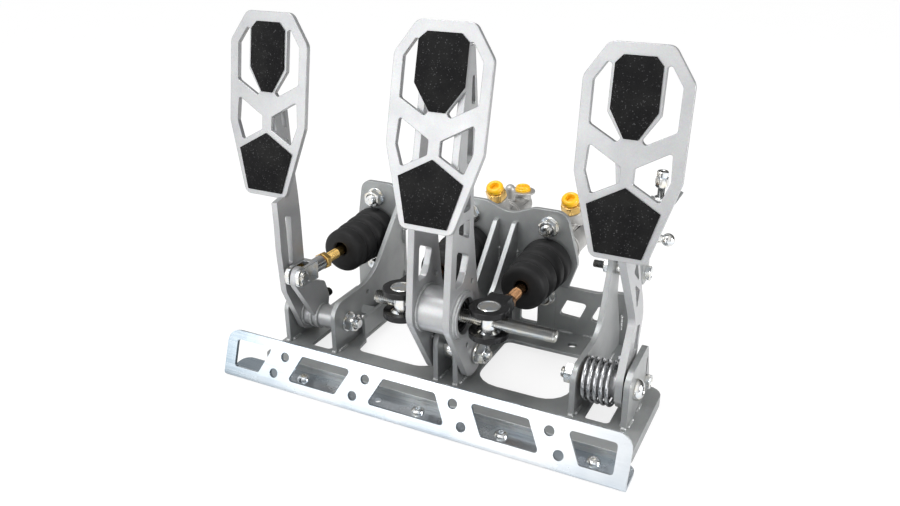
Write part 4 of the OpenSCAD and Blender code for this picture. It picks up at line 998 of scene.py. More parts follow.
@dataclass
class Workshop:
    """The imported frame, and the ways a piece is made and set on its body."""

    frame: dict
    recipes: Recipes
    made: list[str] = field(default_factory=list)

    def node(self, name: str) -> Thing:
        """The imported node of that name."""
        return self.frame["nodes"][name]

    def body(self, name: str) -> str:
        """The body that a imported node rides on."""
        return self.node(name)["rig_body"]

    def add(self, name: str, mesh: Mesh, finishes: Sequence[Finish], body: str | None,
            replaces: Iterable[str] = ()) -> Thing:
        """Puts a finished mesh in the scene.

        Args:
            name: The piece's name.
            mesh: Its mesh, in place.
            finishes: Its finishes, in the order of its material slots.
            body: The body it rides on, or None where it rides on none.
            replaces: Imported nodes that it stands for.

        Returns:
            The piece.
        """
        mesh.name = name
        piece = linked(name, mesh)
        mesh.materials.clear()
        for finish in finishes:
            mesh.materials.append(finish.material())
        if body:
            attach(piece, body)
        if replaces:
            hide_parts(*replaces)
        self.made.append(name)
        LOG.info("%s: %d faces", name, len(mesh.polygons))
        return piece

    def put(self, node: str, lot: Lot, ending: str = "_set") -> None:
        """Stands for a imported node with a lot, whose name adds the ending to the node's."""
        self.add(node + ending, lot.close(), lot.finishes, self.body(node), (node,))

    def merged(self, name: str, split: bool = False) -> Mesh:
        """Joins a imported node's loose triangles to whole flat faces.

        Args:
            name: The node.
            split: Whether faces of many corners are split again.

        Returns:
            A mesh of its own.
        """
        bm = bmesh.new()
        bm.from_mesh(self.node(name).data)
        bmesh.ops.remove_doubles(bm, verts=bm.verts, dist=2e-6)
        bmesh.ops.dissolve_limit(bm, angle_limit=FLAT_ANGLE, verts=bm.verts, edges=bm.edges)
        if split:
            bmesh.ops.triangulate(bm, faces=[face for face in bm.faces if len(face.verts) > 4])
        return to_mesh(bm, name + "_part")

    def softened(self, name: str, finish: Finish, edge: float, clamp: bool) -> None:
        """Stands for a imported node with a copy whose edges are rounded.

        Args:
            name: The node.
            finish: Its finish.
            edge: Width of the rounding in millimetres.
            clamp: Whether the rounding is held back where faces are small.
        """
        painted = isinstance(finish, SilverPaint)
        # Painted pieces get the lighter edge paint: part wear, part painted highlight.
        finishes = (finish, EDGE_WEAR_AND_HIGHLIGHT_PAINT) if painted else (finish,)
        mesh = self.merged(name, clamp)
        mesh.materials.clear()
        for each in finishes:
            mesh.materials.append(each.material())
        self.add(name + "_part", rounded_edges(mesh, edge, clamp, painted), finishes, self.body(name), (name,))


@dataclass
class Work:
    """A group of pieces that one class makes."""

    shop: Workshop

    def build(self) -> None:
        """Makes them."""


@dataclass
class PlateWork(Work):
    """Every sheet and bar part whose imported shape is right, with its edges rounded."""

    rounded: tuple[tuple[Finish, float, str], ...] = (
        (PAINT, 0.5, "base_frame"),
        (PAINT, 0.45, "tray_folds clutch_bracket_left clutch_bracket_right brake_bracket_left brake_bracket_right "
                      "throttle_bracket_left throttle_bracket_right clutch_mount_plate brake_mount_plate rear_wall"),
        (PAINT, 0.35, "cable_bracket"),
        (PEDAL_PAINT, 0.5, "brake_arm_left brake_arm_right clutch_face brake_face throttle_face"),
        (PEDAL_PAINT, 0.4, "clutch_pivot_tube"),
        (PEDAL_PAINT, 0.6, "bias_tube"),
        (PEDAL_PAINT, 0.4, "throttle_pivot_tube"),
        (HEEL_ZINC, 0.35, "heel_plate"),
        (CAST, 0.6, "clutch_cylinder brake_cylinder_left brake_cylinder_right"),
        (BRONZE, 0.2, "clutch_bushes brake_bushes throttle_bushes"),
        (ZINC, 0.4, "clutch_clevis"),
        (BLACK, 0.6, "brake_clevis_left brake_clevis_right"),
        (ZINC, 0.4, "bias_bearing"))
    clamped: tuple[str, ...] = ("throttle_bracket_right", "rear_wall", "heel_plate")
    plain: tuple[str, ...] = ("clutch_piston", "brake_piston_left", "brake_piston_right")

    def build(self) -> None:
        """Makes all of them."""
        for finish, edge, names in self.rounded:
            for name in names.split():
                self.shop.softened(name, finish, edge, name in self.clamped)
        for name in self.plain:
            materials = self.shop.node(name).data.materials
            materials.clear()
            materials.append(PISTON.material())


@dataclass
class BentArm(Work):
    """A pedal arm cut from plate: upright below its bend and leaning left above it."""

    node: str
    x: float
    outline: Path
    slots: Sequence[Path]
    hub: tuple[float, float]
    bend_z: float
    lean: float
    thick: float = 5.0
    zone: float = 8.0
    bore: float = 6.0
    edge: float = 0.45
    cuts: int = 7
    pin: tuple[float, float] | None = None

    def flat(self) -> BMesh:
        """Makes the plate before it is bent, cut across where it will bend.

        Returns:
            Its left side.
        """
        y0, z0 = self.hub
        bore = [(y0 + self.bore * math.cos(a), z0 + self.bore * math.sin(a))
                for a in (TURN * k / 32 for k in range(32))]
        loops = [fillet(self.outline), bore]
        loops += [fillet([(y0 + y, z0 + z, r) for y, z, r in slot], 4) for slot in self.slots]
        bm = bmesh.new()
        verts = [bm.verts.new((0.0, y * MM, z * MM)) for loop in loops for y, z in loop]
        for corners in tessellate_polygon([[Vector((y, z, 0.0)) for y, z in loop] for loop in loops]):
            bm.faces.new([verts[k] for k in corners])
        for k in range(self.cuts):
            height = self.bend_z + self.zone * (2 * k / (self.cuts - 1) - 1)
            bmesh.ops.bisect_plane(bm, geom=bm.verts[:] + bm.edges[:] + bm.faces[:],
                                   plane_co=(0, 0, height * MM), plane_no=UP)
        return bm

    def bent(self, height: float, depth: float) -> tuple[float, float]:
        """Where a point of the flat plate goes.

        Args:
            height: Its height over the bend.
            depth: Its place in the plate's thickness.

        Returns:
            Its X and Z.
        """
        full = math.radians(self.lean)
        radius = 2 * self.zone / full
        angle = min(full, max(0.0, (height + self.zone) / radius))
        beyond = max(0.0, height - self.zone)
        x = -radius * (1 - math.cos(angle)) - beyond * math.sin(full) + depth * math.cos(angle)
        rise = height if height < -self.zone else -self.zone + radius * math.sin(angle)
        return self.x + x, self.bend_z + rise + beyond * math.cos(full) + depth * math.sin(angle)

    def build(self) -> None:
        """Makes the arm, and its peg if it has one."""
        bm = self.flat()
        rims = [e for e in bm.edges if len(e.link_faces) == 1]
        faces = list(bm.faces)
        twin = {v: bm.verts.new(v.co + Vector((self.thick * MM, 0, 0))) for v in list(bm.verts)}
        for face in faces:
            bm.faces.new([twin[v] for v in face.verts])
        for a, b in (edge.verts for edge in rims):
            bm.faces.new((a, b, twin[b], twin[a]))
        for vert in bm.verts:
            x, z = self.bent(vert.co.z / MM - self.bend_z, vert.co.x / MM)
            vert.co.x, vert.co.z = x * MM, z * MM
        bmesh.ops.recalc_face_normals(bm, faces=bm.faces)
        bmesh.ops.dissolve_limit(bm, angle_limit=FLAT_ANGLE, verts=bm.verts, edges=bm.edges)
        mesh = to_mesh(bm, self.node)
        # The arm's edges get the lighter edge paint: part wear, part painted highlight.
        finishes = (PEDAL_PAINT, EDGE_WEAR_AND_HIGHLIGHT_PAINT)
        for finish in finishes:
            mesh.materials.append(finish.material())
        mesh = rounded_edges(mesh, self.edge, clamp=True, edge_wear_and_highlight=True)
        self.shop.add(self.node + "_plate", mesh, finishes, self.shop.body(self.node), (self.node,))
        if self.pin:
            peg = turned(((0, 0), (1.8, 0), (2, 0.2), (2, 5.4), (0, 5.4)), 24)
            lot = Lot((peg, PEDAL_PAINT, (self.x - 5, *self.pin), RIGHT))
            self.shop.add(self.node + "_peg", lot.close(), (PEDAL_PAINT,), self.shop.body(self.node))


CLUTCH_ARM = dict(
    node="clutch_arm", x=-133.2, hub=(50.0, 28.0), bend_z=118.0, lean=12.0,
    outline=((23.2, 90, 40), (25, 56, 16), (44, 14, 10), (58, 14, 10), (64, 36, 12), (49.5, 70, 30),
             (49.5, 118, 30), (56, 154, 40), (64.75, 192.6, 3), (56.75, 196.6, 3), (49.75, 196.6, 0),
             (36.2, 127.6, 0), (25.5, 125.6, 0), (24, 118, 30)),
    slots=(((-18.6, 87, 1.6), (-11.8, 83.4, 1.6), (-14, 48, 1.6), (-18.8, 48, 1.6)),
           ((-14.5, 106, 1.5), (-5, 104, 1.5), (-2, 124, 1.5), (-4, 125, 1.5)),
           ((-1, 131, 1.5), (4.5, 112, 1.5), (5.5, 136, 1.5), (3, 139, 1.5)),
           ((2.5, 147, 1.2), (7.5, 143, 1.2), (9.5, 160, 1.2), (5.5, 158, 1.2))))
THROTTLE_ARM = dict(
    node="throttle_arm", x=121.3, hub=(50.0, 30.0), bend_z=77.0, lean=8.0, pin=(60.2, 44.2),
    outline=((44, 16, 10), (58, 16, 10), (64, 34, 10), (76, 71, 14), (75.7, 77, 8), (72, 114.7, 30),
             (65, 180.7, 4), (51.1, 184.7, 0), (42.8, 123.7, 0), (43, 121.7, 0), (56.2, 77, 8), (56, 73, 20),
             (36, 42, 14), (36, 26, 10)),
    slots=(((6, 22, 1.2), (16, 20, 1.2), (19, 38, 1.2), (12, 40, 1.2)),
           ((9.5, 52, 1.2), (19, 62, 1.2), (9.5, 70, 1.2)),
           ((9, 78, 1.2), (19, 68, 1.2), (18, 84, 1.2)),
           ((3, 96, 1.2), (15, 90, 1.2), (9, 106, 1.2), (3.5, 106, 1.2))))
CYLINDER_XS = (-117.7, -30.25, 35.75)
CYLINDER_Z, WALL_Y, BALL_Y = 67.0, 139.5, 134.0
CLUTCH_JOINT, CLUTCH_BALL = (CYLINDER_XS[0], 26.0, 71.0), (CYLINDER_XS[0], BALL_Y, CYLINDER_Z)
BAR_Y, BAR_Z, PIVOT_Y = 27.8, 69.0, 50.0


@dataclass
class Boot(Work):
    """A rubber bellows between the cylinder wall and the push rod."""

    node: str
    body: str
    x: float
    shift: float
    hole: float = 5.1
    length: float = 55.5
    small: float = 17.2
    large: float = 19.7
    lobes: int = 4
    skin: float = 1.6
    groove: float = 3.3
    still: float = 12.0
    mouth: float = 14.3
    mouth_depth: float = 9.5
    crease: float = 4.5
    steps: int = 16

    def outer(self) -> list[tuple[float, float]]:
        """Draws the outside, front to back.

        Returns:
            Radius and distance from the wall of each point.
        """
        rows = [(self.hole, self.length), (8.0, self.length), (9.4, self.length - 0.25), (13.8, self.length - 0.25)]
        width = self.length / self.lobes
        for i in range(self.lobes):
            top = self.length - i * width
            crest = self.small + (self.large - self.small) * i / (self.lobes - 1)
            for k in range(self.steps):
                t = k / self.steps
                dip = abs(2 * t - 1) ** self.crease
                rows.append((crest + 0.3 * t - self.groove * dip, top - t * width - (0.3 if i + k == 0 else 0)))
        return rows + [(self.large - 2.4, 0.4)]

    def build(self) -> None:
        """Makes the bellows in place on the cylinder wall."""
        outer = self.outer()
        nose = self.length - self.skin
        inner = [(max(self.mouth if y < self.mouth_depth else self.hole, r - self.skin), min(nose, y))
                 for r, y in outer[3:] if y > 0.3]
        profile = outer + [(self.mouth + 0.1, 0.4)] + list(reversed(inner)) + [(self.hole, nose)]
        mesh = turned(profile, 72, True)
        mesh.transform(stand((self.x, WALL_Y, CYLINDER_Z), FRONT))
        for vert in mesh.vertices:
            radius = math.hypot(vert.co.x / MM - self.x, vert.co.z / MM - CYLINDER_Z)
            if vert.co.y / MM < WALL_Y - self.length + 2:
                vert.co.z += self.shift * MM * min(1.0, max(0.0, (self.still - radius) / (self.still - self.hole)))
        piece = self.shop.add(self.node + "_bellows", mesh, (RUBBER,), None, (self.node,))
        front, back = ((self.x * MM, (WALL_Y - d) * MM, CYLINDER_Z * MM) for d in (self.length - 3, 9))
        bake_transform(piece)
        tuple(front)
        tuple(back)


@dataclass
class ReturnSpring(Work):
    """The throttle's torsion spring: one wire with a leg at each end."""

    wire: float = 3.0
    radius: float = 14.2
    turns: int = 5
    pitch: float = 4.1
    start_x: float = 97.8
    z: float = 30.0
    foot: float = 21.3
    leg: float = 17.0
    per_turn: int = 40

    def coil(self, turn: float) -> Vector:
        """The wire's middle after that many turns."""
        a = TURN * turn
        return Vector((self.start_x + self.pitch * turn, PIVOT_Y + self.radius * math.cos(a),
                       self.z + self.radius * math.sin(a)))

    def build(self) -> None:
        """Sweeps the wire."""
        points = [self.coil(0) - Vector((0, 0, self.foot * (1 - k / 4))) for k in range(4)]
        points += [self.coil(i / self.per_turn) for i in range(self.turns * self.per_turn + 1)]
        points += [self.coil(self.turns) + Vector((0, 0, self.leg * k / 4)) for k in range(1, 5)]
        mesh = swept(points, self.wire / 2, 14)
        piece = self.shop.add("throttle_spring_coil", mesh, (SPRING,), None, ("throttle_spring",))
        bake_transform(piece)


@dataclass
class Fasteners(Work):
    """Bolts, nuts, washers and screws of the frame."""

    flats: float = 13.0
    shank: float = 3.95
    head: float = 5.2
    nut: tuple[float, float] = (6.4, 4.3)
    ring: Point = (8, 1.6, 4.1)
    clamp: float = 12.0
    half_pitch: float = 28.575
    heel_xs: tuple[float, ...] = (-99.8, -4.5, 57.9, 120.8)

    def pivot(self, node: str, x0: float, x1: float, z: float, side: int = 1, domed: bool = False,
              sleeve: float = 0.0) -> None:
        """Makes a pivot bolt with its washer and nut.

        Args:
            node: The node that it stands for.
            x0: Where it clamps at the left.
            x1: Where it clamps at the right.
            z: Its height.
            side: 1 where the nut is at the right, -1 where it is at the left.
            domed: Whether its head is round.
            sleeve: Half the length of its spacer tube, if any.
        """
        start, end = (x0, x1) if side > 0 else (x1, x0)
        head, nut, outer = ((x, PIVOT_Y, z) for x in (start, end, end + self.ring[1] * side))
        way = (side, 0, 0)
        top = button_head(7.4, 5.1, 2.9) if domed else hex_head(self.flats, self.head)
        lot = Lot((top, ZINC, head, (-side, 0, 0)), (cylinder(self.shank, x1 - x0, 32), ZINC, head, way),
                  (washer(*self.ring), ZINC, nut, way), (hex_nut(self.flats, *self.nut), ZINC, outer, way),
                  (self.shop.recipes.threaded(self.shank, 11.0, M8_PITCH, ZINC, 0.7, 0.5), ZINC, nut, way))
        if sleeve:
            tube = turned(((4, 0), (8.7, 0), (9, 0.3), (9, 2 * sleeve - 0.3), (8.7, 2 * sleeve), (4, 2 * sleeve)),
                          40, True)
            lot.add(tube, ZINC, (-sleeve, PIVOT_Y, z), RIGHT)
        self.shop.put(node, lot)

    def build(self) -> None:
        """Makes the pivot bolts, the cylinders' bolts and the heel plate's screws."""
        self.pivot("clutch_pivot_bolt", -138.7, -92.2, 28.0)
        self.pivot("brake_pivot_bolt", -16.65, 16.65, 28.0, sleeve=5.75)
        self.pivot("throttle_pivot_bolt", 91.8, 131.8, 30.0, -1, True)
        recipes, lot = self.shop.recipes, Lot()
        for part, y, way in ((washer(*self.ring), WALL_Y, FRONT),
                             (hex_nut(self.flats, *self.nut), WALL_Y - self.ring[1], FRONT),
                             (recipes.threaded(self.shank, 10.9, M8_PITCH, ZINC, 0.7, 0.4), WALL_Y, FRONT),
                             (hex_head(self.flats, self.head), WALL_Y + self.clamp, BACK)):
            places = [((x, y, CYLINDER_Z + s * self.half_pitch), way) for x in CYLINDER_XS for s in (-1, 1)]
            lot.add(recipes.repeated(part, places, ZINC, 5), ZINC)
        self.shop.put("cylinder_bolts", lot)
        self.shop.put("heel_plate_screws", Lot(*(
            (recipes.repeated(part, [((x, 0, z), UP) for x in self.heel_xs], ZINC, 3), ZINC)
            for part, z in ((button_head(4.75, 2.6, 1.6), 2.5), (cylinder(2.45, 2.6, 20), 0)))))


@dataclass
class StopAndCable(Work):
    """The throttle's stop screw, the cable post with its adjuster, and the bolts that hold them."""

    y: float = 116.0
    post_x: float = 113.5
    adjuster_x: float = 121.5
    shelf_z: float = 138.0
    stud_z: float = 110.8
    link_z: float = 83.5
    column_x: float = 91.8

    def adjuster(self) -> None:
        """Makes the threaded adjuster with its nuts."""
        recipes, low, shelf, top = self.shop.recipes, *((self.adjuster_x, self.y, self.shelf_z + h)
                                                        for h in (-10, 0, 10))
        nuts = [(shelf, UP), ((self.adjuster_x, self.y, self.shelf_z - 6), UP)]
        corner = 8 / math.sqrt(3)
        barrel = turned(((0, 0), (3.8, 0), (corner, 0.5), (corner, 6.2), (3.9, 6.8), (3.3, 7.1), (3.3, 7.6),
                         (3.9, 7.9), (3.9, 10.4), (3.4, 11), (1.9, 11), (1.6, 10.7), (1.6, 5), (0, 5)), 48, False, 8.0)
        self.shop.put("cable_adjuster", Lot(
            (recipes.threaded(2.45, 21.0, 0.8, ZINC, 0.4), ZINC, low, UP),
            (recipes.repeated(hex_nut(8, 3, 2.6), nuts, ZINC, 2), ZINC), (barrel, ZINC, top, UP)))

    def bolts(self) -> None:
        """Makes the column bolt with its spacer, and the ball stud."""
        threaded = self.shop.recipes.threaded
        length = self.post_x + 3 - self.column_x + 13
        gap = self.post_x - self.column_x - 4
        spacer = turned(((3, 0), (4.8, 0), (5, 0.2), (5, gap - 0.2), (4.8, gap), (3, gap)), 32, True)
        cone = turned(((0, 0), (3.9, 0), (3.7, 1.2), (2.6, 4.6), (2.2, 6.5), (0, 6.5)), 32)
        ball = turned([(4.6 * math.sin(a), 4.6 - 4.6 * math.cos(a)) for a in (math.pi * k / 16 for k in range(17))], 32)
        self.shop.put("linkage_bolts", Lot(*(
            (shape, finish, (x, self.y, z), way) for shape, finish, x, z, way in (
                (threaded(2.95, length, 1.0, ZINC, 0.5), ZINC, self.column_x - 13, self.link_z, RIGHT),
                (hex_head(10, 4), ZINC, self.post_x + 3, self.link_z, RIGHT),
                (hex_nut(10, 5, 3.1), ZINC, self.column_x, self.link_z, LEFT),
                (spacer, ZINC, self.column_x + 4, self.link_z, RIGHT),
                (hex_nut(9, 4, 3.1), ZINC, self.post_x, self.stud_z, LEFT),
                (hex_head(9, 4), ZINC, self.post_x + 3, self.stud_z, RIGHT),
                (threaded(2.95, 6.0, 1.0, ZINC, 0.5), ZINC, self.post_x - 3, self.stud_z, RIGHT),
                (cone, BLACK, self.post_x + 7, self.stud_z, RIGHT),
                (ball, SATIN, self.post_x + 11.4, self.stud_z, RIGHT)))))

    def build(self) -> None:
        """Makes all of them, and the stop screw in the right bracket."""
        self.adjuster()
        self.bolts()
        self.shop.put("throttle_stop_screw", Lot(*(
            (shape, ZINC, (x, 77, 21), way) for shape, x, way in (
                (cylinder(2.95, 6, 28), 125.8, RIGHT), (washer(5, 2, 2.9), 127.8, LEFT),
                (hex_head(10, 4), 131.8, RIGHT)))))


@dataclass
class PushRod(Work):
    """A threaded push rod with its jam nut and ball."""

    node: str
    start: Point
    begin: float
    nut: float
    flats: float
    finish: Finish
    nut_finish: Finish
    threaded: float = 32.0
    radius: float = 3.95
    ball: float = 5.0
    neck: float = 2.9
    overlap: float = 0.6
    sunk: float = 3.6

    def build(self) -> None:
        """Makes the rod along its own Y axis and turns it into place."""
        goal = (self.start[0], BALL_Y, CYLINDER_Z)
        length = (Vector(goal) - Vector(self.start)).length
        place = aimed(self.start, goal)
        first = self.begin + self.threaded - self.overlap
        stem = ((0, 0), (3.4, 0), (3.7, 0.4), (3.7, length - self.ball - first - 1.5),
                (self.neck, length - self.ball - first), (self.neck, length - self.sunk - first),
                (0, length - self.sunk - first))
        steps = 18
        ball = [(self.ball * math.sin(math.pi * k / steps), -self.ball * math.cos(math.pi * k / steps))
                for k in range(steps + 1)]
        thread = self.shop.recipes.threaded(self.radius, self.threaded, M8_PITCH, self.finish, 0.5)
        self.shop.put(self.node, Lot(*(
            (shape, finish, (0, y, 0), BACK, place) for shape, finish, y in (
                (thread, self.finish, self.begin),
                (hex_nut(self.flats, 5, self.radius + 0.1), self.nut_finish, self.nut),
                (turned(stem, 32), self.finish, first), (turned(ball, 36), PISTON, length)))))


@dataclass
class BalanceGear(Work):
    """The threaded balance bar, the trunnions that it screws through, and the cross tube's seals."""

    first_x: float = -51.0
    length: float = 134.0
    bore: float = 12.7
    seal_depth: float = 3.0
    tube_half: float = 16.1

    def build(self) -> None:
        """Makes the seals, each with a bright lip, then the bar and both trunnions."""
        lot = Lot()
        for side in (-1, 1):
            ring = turned(((9.2, 0), (self.bore, 0), (self.bore, 2.6), (12.2, self.seal_depth),
                           (9.9, self.seal_depth), (9.2, 2.2)), 56, True)
            lip = turned(((7.6, 0.2), (9.2, 0.2), (9.2, 1.5), (8.9, 1.8), (7.9, 1.8), (7.6, 1.5)), 56, True)
            for shape, finish in ((ring, BLACK), (lip, ZINC)):
                lot.add(shape, finish, (side * (self.tube_half - self.seal_depth), BAR_Y, BAR_Z), (side, 0, 0))
        self.shop.add("bias_seals", lot.close(), lot.finishes, "brake_pedal")
        bar = self.shop.recipes.threaded(4.73, self.length, 1.5, STUD, 1.0, 1.6, 0.46)
        self.shop.put("balance_bar", Lot((bar, STUD, (self.first_x, BAR_Y, BAR_Z), RIGHT)), "_thread")
        rows = ((0, -11.3), (6.9, -11.3), (7.9, -10.8), (7.9, -6.9), (6.3, -5.6), (6.0, -1.5), (6.0, 1.5), (6.3, 5.6),
                (7.9, 6.9), (7.9, 10.9), (7.4, 11.35), (6.5, 11.35), (6.2, 11.0), (0, 11.0))
        for node, x in zip(("brake_trunnion_left", "brake_trunnion_right"), CYLINDER_XS[1:]):
            place = aimed((x, BAR_Y, BAR_Z), (x, BALL_Y, CYLINDER_Z))
            self.shop.put(node, Lot((turned(rows, 48), ZINC, (0, 0, 0), None, place),
                                    (cylinder(6.15, 0.12, 40), SATIN, (0, 0, 11.0), None, place)), "_pin")


@dataclass
class ClevisPin(Work):
    """The clutch clevis's pin with its domed head and wire clip, and the lug's screw."""

    half: float = 6.1

    def build(self) -> None:
        """Makes the pin, the clip and the screw."""
        place, end = aimed(CLUTCH_JOINT, CLUTCH_BALL), 2 * self.half
        rows = ((0, -2.2), (3.6, -2.2), (5.1, -1.7), (5.6, -0.9), (5.6, 0), (3.95, 0), (3.95, end), (3.1, end),
                (3.1, end + 0.5), (3.6, end + 0.6), (3.6, end + 1.2), (3.2, end + 1.55), (0, end + 1.55))
        ring = [Vector((self.half + 0.55, 4.1 * math.cos(a), 4.1 * math.sin(a)))
                for a in (math.radians(t) for t in range(-50, 231, 10))]
        clip = [ring[0] + Vector((0, 2.2, -1.2))] + ring + [ring[-1] + Vector((0, -1.4, -2.0))]
        self.shop.put("clutch_clevis_pin", Lot((turned(rows, 40), ZINC, (-self.half, 0, 0), RIGHT, place),
                                               (swept(clip, 0.5, 8), SATIN, (0, 0, 0), None, place)))
        screw = turned(((0, 0), (2.6, 0), (2.6, 1.2), (3.3, 1.3), (3.4, 3.6), (3.0, 4.2), (1.6, 4.2), (1.5, 2.8),
                        (0, 2.7)), 32)
        nub = Lot((screw, BLACK, (CYLINDER_XS[0], 60.2, 41.5), (0, 1, 0.15)))
        self.shop.add("clutch_lug_screw", nub.close(), nub.finishes, "clutch_pedal")


@dataclass
class PortFittings(Work):
    """Unions on the cylinders' inlets, and plugs in both their ports."""

    inlet_y: float = 204.0
    outlet_y: float = 249.0
    tilt: float = 28.0
    tower: float = 28.5
    union: float = 9.0
    outlet_z: float = 79.5

    def along(self, distance: float) -> list[tuple[Point, Point]]:
        """Finds a place on each inlet's leaning axis.

        Args:
            distance: How far it is from the cylinder's own axis.

        Returns:
            Place and axis of each.
        """
        lean = math.radians(self.tilt)
        axis = (0.0, -math.sin(lean), math.cos(lean))
        return [((x, self.inlet_y + axis[1] * distance, CYLINDER_Z + axis[2] * distance), axis) for x in CYLINDER_XS]

    def build(self) -> None:
        """Makes the unions and the plugs."""
        hexagon = turned(((4.2, 0), (7.0, 0), (7.9, 0.4), (8.66, 0.9), (8.66, 7.4), (7.9, 7.9), (7.1, 8.2), (6.6, 8.2),
                          (6.6, 9), (4.2, 9)), 48, True, 15.0)
        ring = turned(((3.4, 0), (6.4, 0), (7.1, 0.5), (7.3, 1.6), (7.25, 2.6), (6.9, 3.6), (6.3, 4.4), (5.4, 4.9),
                       (4.6, 4.95), (3.9, 4.6), (3.5, 3.9)), 48, True)
        cup = turned(((0, 0), (3.42, 0), (3.42, 3.5), (3.1, 2.9), (2.8, 0.9), (0, 0.8)), 36)
        skirt = turned(((3.4, 0), (7, 0), (7, 1.6), (6.7, 1.95), (6.35, 2.2), (6.3, 3.3), (5.8, 4.1), (5.1, 4.55),
                        (4.4, 4.5), (3.8, 4.1), (3.5, 3.4)), 48, True)
        low_cup = turned(((0, 0), (3.42, 0), (3.42, 3.1), (3.1, 2.5), (2.8, 0.9), (0, 0.8)), 36)
        top = self.along(self.tower + self.union)
        back = [((x, self.outlet_y, self.outlet_z), UP) for x in CYLINDER_XS]
        for node, seed, rows in (
                ("port_unions", 4, ((hexagon, self.along(self.tower), GOLD),
                                    (cylinder(4.1, 6, 28), self.along(self.tower - 6), GOLD))),
                ("port_plugs", 6, ((ring, top, YELLOW), (cup, top, ORANGE), (skirt, back, YELLOW),
                                   (low_cup, back, ORANGE)))):
            self.shop.put(node, Lot(*((self.shop.recipes.repeated(part, places, finish, seed), finish)
                                      for part, places, finish in rows)))


@dataclass
class Grips(Work):
    """Grit sheets on one pedal's face."""

    node: str
    seed: int
    edge: float = 0.2
    amount: float = 300000.0
    grain: float = 0.17
    facing: float = -0.9

    def build(self) -> None:
        """Rounds the sheets and strews grains over them."""
        sheet = self.shop.merged(self.node)
        bm = bmesh.new()
        bm.from_mesh(sheet)
        bmesh.ops.delete(bm, geom=[f for f in bm.faces if f.normal.y >= self.facing], context="FACES")
        bmesh.ops.triangulate(bm, faces=bm.faces)
        grains = self.shop.recipes.grit.run(to_mesh(bm, "grit_base"), GRAIN, Amount=self.amount,
                                            Size=self.grain * MM, Seed=self.seed)
        self.shop.put(self.node, Lot((rounded_edges(sheet, self.edge), GRIP), (grains, GRAIN)), "_grit")


@dataclass
class Welds(Work):
    """Weld beads of the frame and the three pedals."""

    top: float = 8.9
    thick: float = 4.0
    off: float = 0.3
    front_y: float = 32.8
    wall_y: float = 139.3
    brackets: Rows = ((-138.7, 70.0), (-96.2, 138.0), (-9.75, 138.0), (5.75, 138.0), (91.8, 138.0), (127.8, 88.0))
    wall_xs: tuple[float, ...] = (-134, -84, -46, 46, 66)

    def around(self, x: float, y: float, z: float, radius: float) -> list[Point]:
        """A ring about an axis along X."""
        return [(x, y + radius * math.cos(a), z + radius * math.sin(a)) for a in (TURN * k / 40 for k in range(40))]

    def line(self, first: Point, last: Point, steps: int = 8) -> list[Point]:
        """A straight line in steps."""
        return [tuple(Vector(first).lerp(Vector(last), k / steps)) for k in range(steps + 1)]

    def frame(self) -> None:
        """Lays the beads at the feet of the brackets and walls."""
        paths = []
        for x, end in self.brackets:
            right = x + self.thick + self.off
            for side in (x - self.off, right):
                spans = ((35, 47), (56, 67)) if end < 100 else ((35, 48), (70, 84), (112, 124))
                paths += [self.line((side, a, self.top), (side, b, self.top)) for a, b in spans]
            paths.append(self.line((x - 0.2, self.front_y, self.top), (x + self.thick + 0.2, self.front_y, self.top)))
            heights = () if end < 100 else (20,) if x > 90 else (20, 58)
            paths += [self.line((right, self.wall_y, a), (right, self.wall_y, a + 14)) for a in heights]
        foot = self.wall_y - 0.1
        paths += [self.line((a, foot, self.top), (a + 13, foot, self.top)) for a in self.wall_xs]
        lot = Lot((self.shop.recipes.welded(paths, 1.5), WELD))
        self.shop.add("frame_welds", lot.close(60), (WELD,), "frame")

    def face_lines(self, xs: Sequence[float], y: float, z: float, lean: float, cant: float, bend: float
                   ) -> list[list[Point]]:
        """Beads between an arm's sides and the back of its face.

        Args:
            xs: The arm's sides, at the height of its bend.
            y: Y of the face's lower edge in front.
            z: Z of that edge.
            lean: The face's lean, in degrees.
            cant: The arm's lean to the left.
            bend: Height where that starts.

        Returns:
            The beads' middle lines.
        """
        slope, side = math.tan(math.radians(lean)), math.tan(math.radians(cant))
        back = y + self.thick / math.cos(math.radians(lean)) + self.off
        return [self.line(*((x - (z + h - bend) * side, back + h * slope, z + h) for h in (low, low + 15)))
                for x in xs for low in (6.0, 26.0)]

    def build(self) -> None:
        """Lays all the beads."""
        self.frame()
        for pedal, rings, lines in (
                ("clutch", [self.around(x, PIVOT_Y, 28, 9.2) for x in (-127.9, -120.5, -114.9)],
                 self.face_lines((-133.4, -128.0), 33.7, 126.6, 10.3, 12.0, 118.0)),
                ("brake", [self.around(x, BAR_Y, BAR_Z, 16.2) for x in (-10.9, 10.9, 16.6)],
                 self.face_lines((-16.5, -11.0, 11.0, 16.5), 7.5, 133.7, 14.4, 0.0, 118.0)),
                ("throttle", [self.around(121.0, PIVOT_Y, 30, 9.2)],
                 self.face_lines((121.1, 126.4), 40.6, 122.7, 7.8, 8.0, 77.0))):
            welded = self.shop.recipes.welded
            lot = Lot((welded(rings, 1.3, True), WELD), (welded(lines, 1.2), WELD))
            self.shop.add(pedal + "_welds", lot.close(60), (WELD,), pedal + "_pedal")


